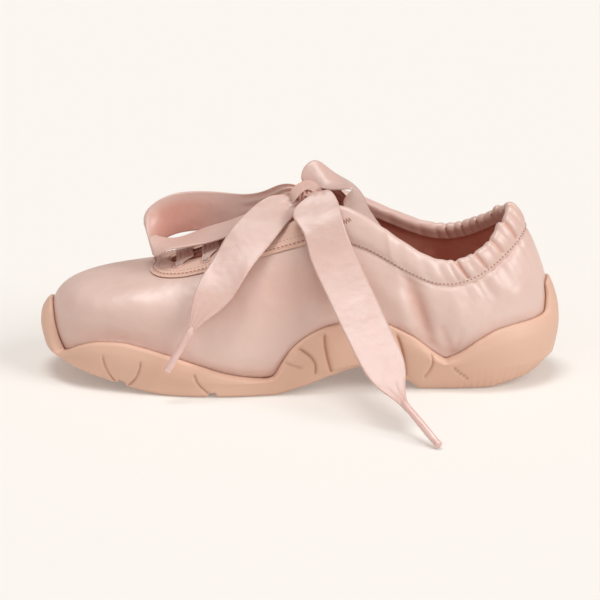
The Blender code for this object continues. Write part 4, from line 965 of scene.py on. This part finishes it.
# Relief of the creases at points of the upper: a bell across each line, tapered to its ends.
def creaseRelief(points):
    x, y, z = points[..., 0], points[..., 1], points[..., 2]
    total = np.zeros_like(x)
    for sideOf, start, end, halfWidth, depth in upper["creases"]:
        a, b = np.array(start), np.array(end)
        length = np.linalg.norm(b - a)
        d = (b - a) / length
        along = (x - a[0]) * d[0] + (z - a[1]) * d[1]
        across = (x - a[0]) * d[1] - (z - a[1]) * d[0]
        beyond = np.maximum(np.maximum(-along, along - length), 0.0)
        taper = 0.55 + 0.45 * np.sin(math.pi * np.clip(along / length, 0, 1))
        onSide = smoothStep(sideOf * y / 6.0)
        total -= depth * taper * onSide * np.exp(-(across ** 2 + beyond ** 2) / halfWidth ** 2)
    return total


# How deep the eyestay or the casing covers the upper below its top edge.
def coverDepth(angle):
    folded = foldAngle(angle)
    return np.where(folded <= eyestay["end"], smoothTable(eyestay["width"], folded),
                    smoothTable(casing["height"], folded))


# The hollow upper: outer face with its creases, over the top edge, and down the lining. The relief is
# creases, puffs and waves, each faded out near the rubber and the bands, along the normal.
def addUpper():
    angles = np.arange(upper["columns"]) * 360.0 / upper["columns"]
    rises = np.linspace(0.0, 1.0, upper["rises"])
    folded = foldAngle(angles)[None]
    smooth = upperPoint(angles[None], rises[:, None])
    normal = upperNormal(angles[None], rises[:, None])
    length = runUp(smooth)
    depth = length[-1] - length
    topRise = np.interp(angles, soleAngles, soleTopRise, period=360.0)
    aboveRubber = length - np.stack([np.interp(topRise[k], rises, length[:, k]) for k in range(len(angles))])
    cover = coverDepth(angles)[None]
    fadeLength = upper["fadeLength"]
    fade = smoothStep(aboveRubber / fadeLength) * smoothStep((depth - cover + 1.0) / fadeLength)
    creases = creaseRelief(smooth)
    small = smoothStep(aboveRubber / upper["foldFade"]) * smoothStep((depth - cover) / fadeLength)
    relief = np.where(creases > 0, creases * fade, creases * small)
    # below the casing the cloth puffs out between the gathers, which pinch it
    belowBand = depth - smoothTable(casing["height"], folded)
    puff = upper["puff"] * smoothStep(belowBand / 3.0) * smoothStep((upper["puffReach"] - belowBand) / 12.0)
    pinch = gatherDepth(angles[None], 1.3) * upper["pinch"] * smoothStep((belowBand + 1.0) / 1.5)
    pinch = pinch * np.exp(-np.clip(belowBand, 0, None) / upper["pinchLength"])
    relief += (folded > casing["start"]) * (puff - pinch) * smoothStep(aboveRubber / fadeLength)
    # long soft waves of the cloth over the board
    x, z = smooth[..., 0], smooth[..., 2]
    wave = np.sin(x / 13.0 + z / 9.0) * np.sin(z / 11.0 + 1.0) + 0.6 * np.sin(x / 6.3 - z / 14.0 + 2.0)
    relief += upper["waveHeight"] * wave * fade
    outer = smooth + normal * relief[..., None]
    # the lining follows the creases a wall inside them
    picked = np.linspace(len(rises) - 1, 0, upper["innerRises"]).astype(int)
    inner = smooth[picked] + normal[picked] * (np.minimum(relief[picked], 0.0) - last["wall"])[..., None]
    points = np.concatenate([outer, inner])
    quads = gridQuads(len(points), len(angles), closeColumns=True, closeRows=True)
    flat = points.reshape(-1, 3)
    rows = np.repeat(np.arange(len(points)), len(angles))
    paintedShade = np.zeros(points.shape[:2])
    seamAndPaintedShade = np.zeros(points.shape[:2])
    # the seam line: partly its own colour, partly painted shade of the gap under the rubber's lip
    thin = upper["thinShare"]
    seamShare = thin + (1.0 - thin) * smoothStep((folded - upper["thinTo"]) / upper["thinFade"])
    line = np.exp(-(aboveRubber / upper["seamHalf"]) ** 2)
    seamAndPaintedShade[:len(rises)] = np.where(aboveRubber < 0, 1.0, line) * seamShare
    # painted shade: darker in the creases' troughs and close to the rubber's edge
    near = np.exp(-np.clip(aboveRubber, 0, None) / upper["shadeLength"]) * upper["seamShade"]
    paintedShade[:len(rises)] = np.clip(-relief * upper["creaseShade"], 0, upper["mostShade"]) + near
    makePiece("upperShell", flat, outward(flat, quads), "satin", "satin", ("upper",),
              dict(paintedShade=paintedShade, seamAndPaintedShade=seamAndPaintedShade), second="lining", secondFaces=rows >= len(rises))


addUpper()


# Eyestay, collar casing, tongue and sock.


# A band on the upper: a closed section of depth below the edge and distance outside, at each angle.
def bandSections(angles, depth, distance):
    rise = riseBelowEdge(angles, np.maximum(depth, 0.0))
    beyond = unit(upperPoint(angles, 1.0) - upperPoint(angles, 0.97))
    points = offUpper(angles[None], rise, distance) + beyond[None] * np.maximum(-depth, 0.0)[..., None]
    return np.moveaxis(points, 0, 1)


# The eyestay: its section carried round the throat edge, with a shallow valley under the stitch row.
def addEyestay():
    section = closedSection(eyestay["section"], eyestay["sectionPoints"])
    angles = np.linspace(-eyestay["end"], eyestay["end"], eyestay["steps"])
    width = smoothTable(eyestay["width"], np.abs(angles))
    share, beside, distance = (section[:, k, None] for k in range(3))
    depth = share * width + beside
    valley = np.exp(-((depth - width + eyestay["valleyIn"]) / eyestay["valleyHalf"]) ** 2)
    distance = distance - eyestay["valleyDepth"] * valley * (distance > 1.2)
    points, quads = tubeNet(bandSections(angles, depth, distance))
    makePiece("eyestayBand", points, quads, "matte", "matte_cloth", ("eyestay",),
              dict(paintedShade=np.zeros(len(points))))


addEyestay()


# The casing: a channel turned over the collar. Its outer face, its inner face and its rim each stand
# out by the bulge less the gathers, and each fades out where the next begins.
def addCasing():
    inside = -(last["wall"] + last["curveGap"])
    innerSection = tuple((depth, inside + out) for depth, out in casing["innerSection"])
    section = closedSection(casing["outerSection"] + innerSection + casing["closing"], casing["around"])
    angles = np.linspace(casing["start"], 360.0 - casing["start"], casing["steps"])
    depth, distance = section[:, :1], section[:, 1:]
    gather = gatherDepth(angles[None], depth / casing["full"])
    bulge = casing["bulge"] - gather
    # each face by its distance from the upper, faded out towards its lower edge; the rim by depth
    fade, outerEnd, outerFade, innerEnd, innerFade = casing["faceFades"]
    outerFace = smoothStep((distance - 0.75) / fade) * smoothStep((outerEnd - depth) / outerFade)
    innerFace = smoothStep((inside - 0.35 - distance) / fade) * smoothStep((innerEnd - depth) / innerFade)
    rim = smoothStep((0.8 - depth) / 1.8) * (distance < 2.3) * (distance > inside - 1.4)
    distance = distance + outerFace * bulge * casing["outerShare"] - innerFace * bulge * casing["innerShare"]
    outerSkin = (distance > 0.6) | (depth < -0.6) | (distance < inside - 0.3)
    # the band's outer face is as tall as the band is there, and its rim wanders with the gathers
    tall = smoothTable(casing["height"], foldAngle(angles)) / casing["full"]
    depth = np.where((distance > 0.4) & (depth > 0), depth * tall[None], depth)
    depth = depth - smoothStep((3.0 - depth) / 4.0) * smoothTable(casing["rim"], angles)[None]
    depth = depth - rim * outerSkin * bulge * casing["rimShare"]
    points, quads = tubeNet(bandSections(angles, depth, distance))
    # painted shade: darker in the gathers and towards the inside
    shade = casing["gatherShade"]
    paintedShade = np.moveaxis(np.clip((gather - 0.5) * shade, 0, shade) * (outerFace + innerFace), 0, 1)
    insidePaintedShade = np.moveaxis(smoothStep((-1.2 - distance) / 1.5), 0, 1) * casing["insideShade"]
    makePiece("collarCasing", points, quads, "satin", "casing_satin", ("collar_casing",),
              dict(paintedShade=withCaps(np.maximum(paintedShade, insidePaintedShade)), seamAndPaintedShade=np.zeros(len(points))))


addCasing()


# Two skins on one net, joined along the edges that only one face uses.
def thicken(outer, inner, net):
    count = len(outer)
    edges = np.stack([net, np.roll(net, -1, axis=1)], axis=-1).reshape(-1, 2)
    edges = edges[edges[:, 0] != edges[:, 1]]
    key, back = edges[:, 0] * count + edges[:, 1], edges[:, 1] * count + edges[:, 0]
    rim = edges[~np.isin(key, back)]
    wall = np.stack([rim[:, 1], rim[:, 0], rim[:, 0] + count, rim[:, 1] + count], axis=-1)
    points = np.concatenate([outer, inner])
    return points, outward(points, np.concatenate([net, net[:, ::-1] + count, wall]))


tongue = dict(
    end=101.0, lap=10.0, crown=2.5, thickness=2.0, steps=70, across=26, lapRows=5, waveHeight=0.25,
    waveLength=3.1,
)


# The tongue: a lap under the throat edge all round, and across the throat a sheet raised by a parabola.
def addTongue():
    side = np.linspace(0.0, tongue["end"], tongue["steps"])
    ring = np.concatenate([side, -side[:0:-1]])
    count, steps, lapRows, across = len(ring), tongue["steps"], tongue["lapRows"], tongue["across"]
    lap = np.linspace(1.0, 0.0, lapRows)
    crown = tongue["crown"] * np.sin(np.linspace(0.0, 1.0, steps) * math.pi / 2)

    # one face of the tongue: the lap's rows and the sheet's, this far outside the upper
    def skin(distance):
        rise = riseBelowEdge(ring, tongue["lap"] * lap[:, None])
        rows = offUpper(ring[None], rise, distance)
        edge = rows[-1]
        i = np.arange(1, steps)
        share = (np.arange(1, across) / across)[None]
        lift = crown[i][:, None] * 4 * share * (1 - share)
        wave = np.sin(side[i][:, None] / tongue["waveLength"] + 5 * share) * np.sin(math.pi * share)
        lift = lift + tongue["waveHeight"] * wave
        middle = edge[i][:, None] + (edge[count - i] - edge[i])[:, None] * share[..., None]
        return np.concatenate([rows.reshape(-1, 3), (middle + lift[..., None] * up).reshape(-1, 3)])

    # the lap runs from the last medial station through the toe to the last lateral one
    path = np.concatenate([count - np.arange(steps - 1, 0, -1), np.arange(steps)])
    r = np.arange(lapRows - 1)[:, None] * count
    a, b = path[None, :-1], path[None, 1:]
    lapQuads = np.stack([r + a, r + b, r + count + b, r + count + a], axis=-1).reshape(-1, 4)
    index = np.empty((steps, across + 1), int)
    edgeRow = (lapRows - 1) * count
    i = np.arange(1, steps)
    index[0] = edgeRow
    index[1:, 0], index[1:, -1] = edgeRow + i, edgeRow + count - i
    index[1:, 1:-1] = lapRows * count + np.arange((steps - 1) * (across - 1)).reshape(steps - 1, across - 1)
    net = np.concatenate([lapQuads, indexQuads(index)])
    outer = skin(-(last["wall"] + last["curveGap"]))
    inner = skin(-(last["wall"] + last["curveGap"] + tongue["thickness"]))
    points, quads = thicken(outer, inner, net)
    makePiece("tonguePad", points, quads, "tongue", "tongue_cloth", ("tongue",))


addTongue()

sock = dict(
    columns=240, across=16,
    # rings from the board up: height above the feather line, how far in from the upper's inner face
    rings=((0.0, 0.6), (0.4, 0.0), (2.0, 0.0), (3.4, 0.0), (3.9, 0.6), (4.0, 2.4), (3.6, 8.0)),
)


# The sock: rings of the upper's inner outline, lifted and drawn in row by row to a rounded edge.
def addSock():
    angles = np.arange(sock["columns"]) * 360.0 / sock["columns"]
    inset = -(last["wall"] + last["curveGap"])
    height = featherLine(angles)[0][:, 2]
    rings = []
    for lift, shrink in sock["rings"]:
        rise = riseAtHeight(angles, height + lift)
        ring = offUpper(angles, rise, inset - shrink)
        ring[:, 2] = height + lift
        rings.append(ring)
    points, quads = stackRings(rings, sock["across"])
    makePiece("sockLining", points, quads, "sock", "sock_lining", ("insole",))


addSock()

# Lace, eyelets and stitches.
lace = dict(
    # x of each bar, half width in the middle, reach over the eyestay
    bars=((-58.0, 4.2, 5.2), (-44.5, 4.4, 6.2), (-30.0, 4.4, 6.2), (-15.5, 4.2, 6.2)),
    endHalves=(1.5, 2.2, 3.4), topHalves=(1.5, 2.0, 3.0, 3.0, 2.6), topTilt=(0.94, 0.0, 0.34),
    topEyelet=(3.0, 5.5), height=2.3, crown=1.6, thickness=0.6, pleats=4.0, pleatCap=0.9, fullHalf=7.0,
    foldShade=0.8, steps=90,
    # an eyelet's profile: distance from its middle, height
    eyeletProfile=((0.0, 0.15), (1.53, 0.1), (1.7, 0.35), (2.05, 0.75), (2.4, 0.8), (2.8, 0.45),
                   (2.9, 0.1), (2.61, -0.15), (0.0, -0.15)),
    eyeletHole=1.7, eyeletAround=28, eyeletOver=0.8, eyeletOut=1.65,
)


# Angle on the throat edge that has this x.
def throatAngle(x):
    samples = np.linspace(0.0, 100.0, 401)
    return float(np.interp(x, upperPoint(samples, 1.0)[:, 0], samples))


# A point on the eyestay: angle (minus is medial), depth below the edge, distance outside the upper.
def onEyestay(angle, depth, distance):
    angle = np.array([angle])
    return offUpper(angle, riseBelowEdge(angle, depth), distance)[0]


# Lace bars: gathered ribbon out of one eyelet, over the throat in a low parabola and into the other.
def addLace():
    paths = []
    for x, half, reach in lace["bars"]:
        angle = throatAngle(x)
        left, right = ([onEyestay(a, reach + 1.6, 0.7), onEyestay(a, reach, lace["height"]),
                        onEyestay(a, 2.0, 2.9), onEyestay(a, 0.0, 2.6)] for a in (angle, -angle))
        middle = [left[3] + (right[3] - left[3]) * s + up * lace["crown"] * 4 * s * (1 - s)
                  for s in (0.33, 0.67)]
        path = np.array(left + middle + right[::-1])
        tangent = upperPoint(angle + 3.0, 1.0) - upperPoint(angle - 3.0, 1.0)
        tangent[1] = 0.0
        halves = np.array(lace["endHalves"] + (half,) * 4 + lace["endHalves"][::-1])
        paths.append(np.concatenate([path, unit(tangent)[None] * halves[:, None]], axis=1))
    # the two strands of the top crossing rise to the knot
    knotPlace = np.array(knot["centre"])
    x, depth = lace["topEyelet"]
    for sideOf in (1, -1):
        angle = throatAngle(x) * sideOf
        path = np.array([onEyestay(angle, depth + 1.4, 0.7), onEyestay(angle, depth, 2.2),
                         onEyestay(angle, 1.0, 3.2), knotPlace + np.array([0.5, -3.6 * sideOf, -4.6]),
                         knotPlace + np.array([0.0, -1.0 * sideOf, -2.0])])
        tilted = np.array([lace["topTilt"]]) * np.array(lace["topHalves"])[:, None]
        paths.append(np.concatenate([path, tilted], axis=1))
    nets, folds, runs = [], [], []
    for number, rows in enumerate(paths):
        points, quads, _, net = ribbonNet(
            rows, lace["fullHalf"], lace["steps"], lace["pleats"], phase=1.3 * number,
            thickness=lace["thickness"], cap=lace["pleatCap"])
        # painted shade in the valleys of the pleats
        valley = np.clip(-net["wave"] * net["face"] / lace["pleatCap"], 0, 1)
        nets.append((points, quads))
        folds.append(withCaps(valley * lace["foldShade"]))
        runs.append(withCaps(net["run"]))
    makePiece("laceBars", *joinNets(nets), "ribbon", "lace_cloth", ("lace_bars",),
              dict(paintedShade=np.concatenate(folds), along=np.concatenate(runs)))


addLace()


# Eyelets: a turned ring with a dished middle, the same profile at each place on the eyestay; the dish is
# painted near black, painted shade of the hole.
def addEyelets():
    profile = np.array(lace["eyeletProfile"])
    turn = np.arange(lace["eyeletAround"]) * 2 * math.pi / lace["eyeletAround"]
    quads = gridQuads(len(profile), len(turn), closeColumns=True)
    nets = []
    for x, reach in [(x, reach) for x, _, reach in lace["bars"]] + [lace["topEyelet"]]:
        for sideOf in (1, -1):
            angle, depth = throatAngle(x) * sideOf, reach + lace["eyeletOver"]
            at = onEyestay(angle, depth, lace["eyeletOut"])
            normal = onEyestay(angle, depth, lace["eyeletOut"] + 1.0) - at
            spokes = spokesRound(normal, turn)
            ring = at + spokes[None] * profile[:, 0][:, None, None] + normal * profile[:, 1][:, None, None]
            points = ring.reshape(-1, 3)
            nets.append((points, outward(points, quads)))
    # painted shade: the dished middle near black
    inHole = np.tile(np.repeat(profile[:, 0] <= lace["eyeletHole"], len(turn)), len(nets))
    makePiece("eyelets", *joinNets(nets), "eyelet", "matte_cloth", (), dict(paintedShade=inHole * 1.0))


addEyelets()


stitches = dict(
    # a stitch's rings: place along it in shares of its length, radius and height in shares of its radius
    rings=((-0.5, 0.25, -0.9), (-0.36, 0.85, -0.2), (0.0, 1.0, 0.15), (0.36, 0.85, -0.2), (0.5, 0.25, -0.9)),
    around=6, rowSteps=900,
    # rows: how far in from the band's lower edge, distance outside, pitch, length, radius
    eyestayRows=((1.2, 1.60, 2.1, 1.5, 0.27), (4.2, 1.74, 1.9, 1.0, 0.13)),
    casingRow=(0.7, 0.95, 2.05, 0.8, 0.25),
    # the lining's curved seam: first and last angle, depth at its ends, how far it dips, then the same
    liningSeam=(190.0, 243.0, 14.0, 9.0), liningRow=(2.4, 1.5, 0.22),
    # bar tacks: first angle, angles over it, first depth, rise over it, half width of the zigzag
    tackTurns=11, tackFrom=103.4, tackSpan=4.8, tackDepth=5.6, tackRise=4.0, tackHalf=0.9, tackOut=2.7,
    tackRow=(1.0, 1.1, 0.2),
)


# Stitches along a line: short capsules a pitch apart, each turned to the line and the surface.
def stitchNet(line, normal, pitch, length, radius):
    run = runAlong(line)
    at = np.arange(0.5 * pitch, run[-1], pitch)
    place, ahead, behind, out = (
        np.stack([np.interp(spot, run, values[:, k]) for k in range(3)], axis=-1)
        for spot, values in ((at, line), (at + 0.3, line), (at - 0.3, line), (at, normal)))
    forward = unit(ahead - behind)
    side = unit(np.cross(forward, out))
    out = np.cross(side, forward)
    rings, around = np.array(stitches["rings"]), stitches["around"]
    turn = np.arange(around) * 2 * math.pi / around
    x = np.repeat(rings[:, 0] * length, around)
    y = np.outer(rings[:, 1], np.cos(turn)).ravel() * radius
    z = (np.outer(rings[:, 1], np.sin(turn)) + rings[:, 2][:, None]).ravel() * radius
    shape = np.stack([x, y, z], axis=-1)
    basis = np.stack([forward, side, out], axis=1)
    points = place[:, None] + np.einsum("pk,nkj->npj", shape, basis)
    # two quads close each end, which has six points
    first, final = np.array([[3, 2, 1, 0], [5, 4, 3, 0]]), np.array([[0, 1, 2, 3], [0, 3, 4, 5]])
    ends = np.concatenate([first, final + len(shape) - around])
    quads = outward(shape, np.concatenate([gridQuads(len(rings), around, closeColumns=True), ends]))
    flip = np.einsum("ij,ij->i", np.cross(basis[:, 0], basis[:, 1]), basis[:, 2])[0]
    quads = quads if flip > 0 else quads[:, ::-1]
    starts = len(shape) * np.arange(len(at))[:, None, None]
    return points.reshape(-1, 3), (quads[None] + starts).reshape(-1, 4)


# A line on the upper, with its normals: angles, depths below the edge and a distance outside.
def surfaceLine(angles, depth, distance):
    rise = riseBelowEdge(angles, depth)
    return offUpper(angles, rise, distance), upperNormal(angles, rise)


# Several stitch rows as one piece.
def addStitches(name, finish, slot, rows):
    makePiece(name, *joinNets([stitchNet(*row) for row in rows]), finish, slot)


# Rows of stitches along the eyestay's and the casing's lower edge.
def addBandRows():
    angles = np.linspace(-eyestay["end"] + 1.0, eyestay["end"] - 1.0, stitches["rowSteps"])
    width = smoothTable(eyestay["width"], np.abs(angles))
    addStitches("eyestayStitches", "darkThread", "matte_cloth", [
        (*surfaceLine(angles, width - inset, out), *size) for inset, out, *size in stitches["eyestayRows"]])
    angles = np.linspace(casing["start"] + 0.5, 359.5 - casing["start"], stitches["rowSteps"])
    inset, out, *size = stitches["casingRow"]
    depth = smoothTable(casing["height"], foldAngle(angles)) - inset
    addStitches("casingStitches", "darkThread", "casing_satin", [(*surfaceLine(angles, depth, out), *size)])


# The lining's seam: its depth below the edge is a dip by the square of a sine.
def addLiningSeam():
    first, final, depth, dip = stitches["liningSeam"]
    angles = np.linspace(first, final, 300)
    depth = depth + dip * np.sin(np.radians((angles - first) * 3.0)) ** 2
    line, normal = surfaceLine(angles, depth, -(last["wall"] + 0.1))
    addStitches("liningStitches", "paleThread", "sock_lining", [(line, -normal, *stitches["liningRow"])])


# Bar tacks: a zigzag on each side where the casing starts.
def addBarTacks():
    turns = np.arange(stitches["tackTurns"])
    share = turns / (stitches["tackTurns"] - 1)
    zigzag = np.where(turns % 2 == 0, stitches["tackHalf"], -stitches["tackHalf"])
    angles = stitches["tackFrom"] + stitches["tackSpan"] * share + 0.25 * zigzag
    depth = stitches["tackDepth"] - stitches["tackRise"] * share + zigzag
    lines = [surfaceLine(angles * sideOf, depth, stitches["tackOut"]) for sideOf in (1, -1)]
    addStitches("barTacks", "darkThread", "matte_cloth", [(*line, *stitches["tackRow"]) for line in lines])


addBandRows()
addLiningSeam()
addBarTacks()


# The floor: a wide square of paper under the shoe, which glows a little of itself.
def addFloor():
    size = studio["floorSize"] / 2
    mesh = bpy.data.meshes.new("floor")
    corners = [(-size, -size, 0), (size, -size, 0), (size, size, 0), (-size, size, 0)]
    mesh.from_pydata(corners, [], [(0, 1, 2, 3)])
    floor = bpy.data.objects.new("floor", mesh)
    bpy.context.scene.collection.objects.link(floor)
    paper = makeFinish("paperFloor", studio["floorColour"], studio["floorColour"], 0.9, bump=0.0, sockets={
        "Specular IOR Level": 0.0, "Emission Color": (*studio["floorColour"], 1.0),
        "Emission Strength": studio["floorGlow"]})
    mesh.materials.append(paper)


addFloor()
print("floor")
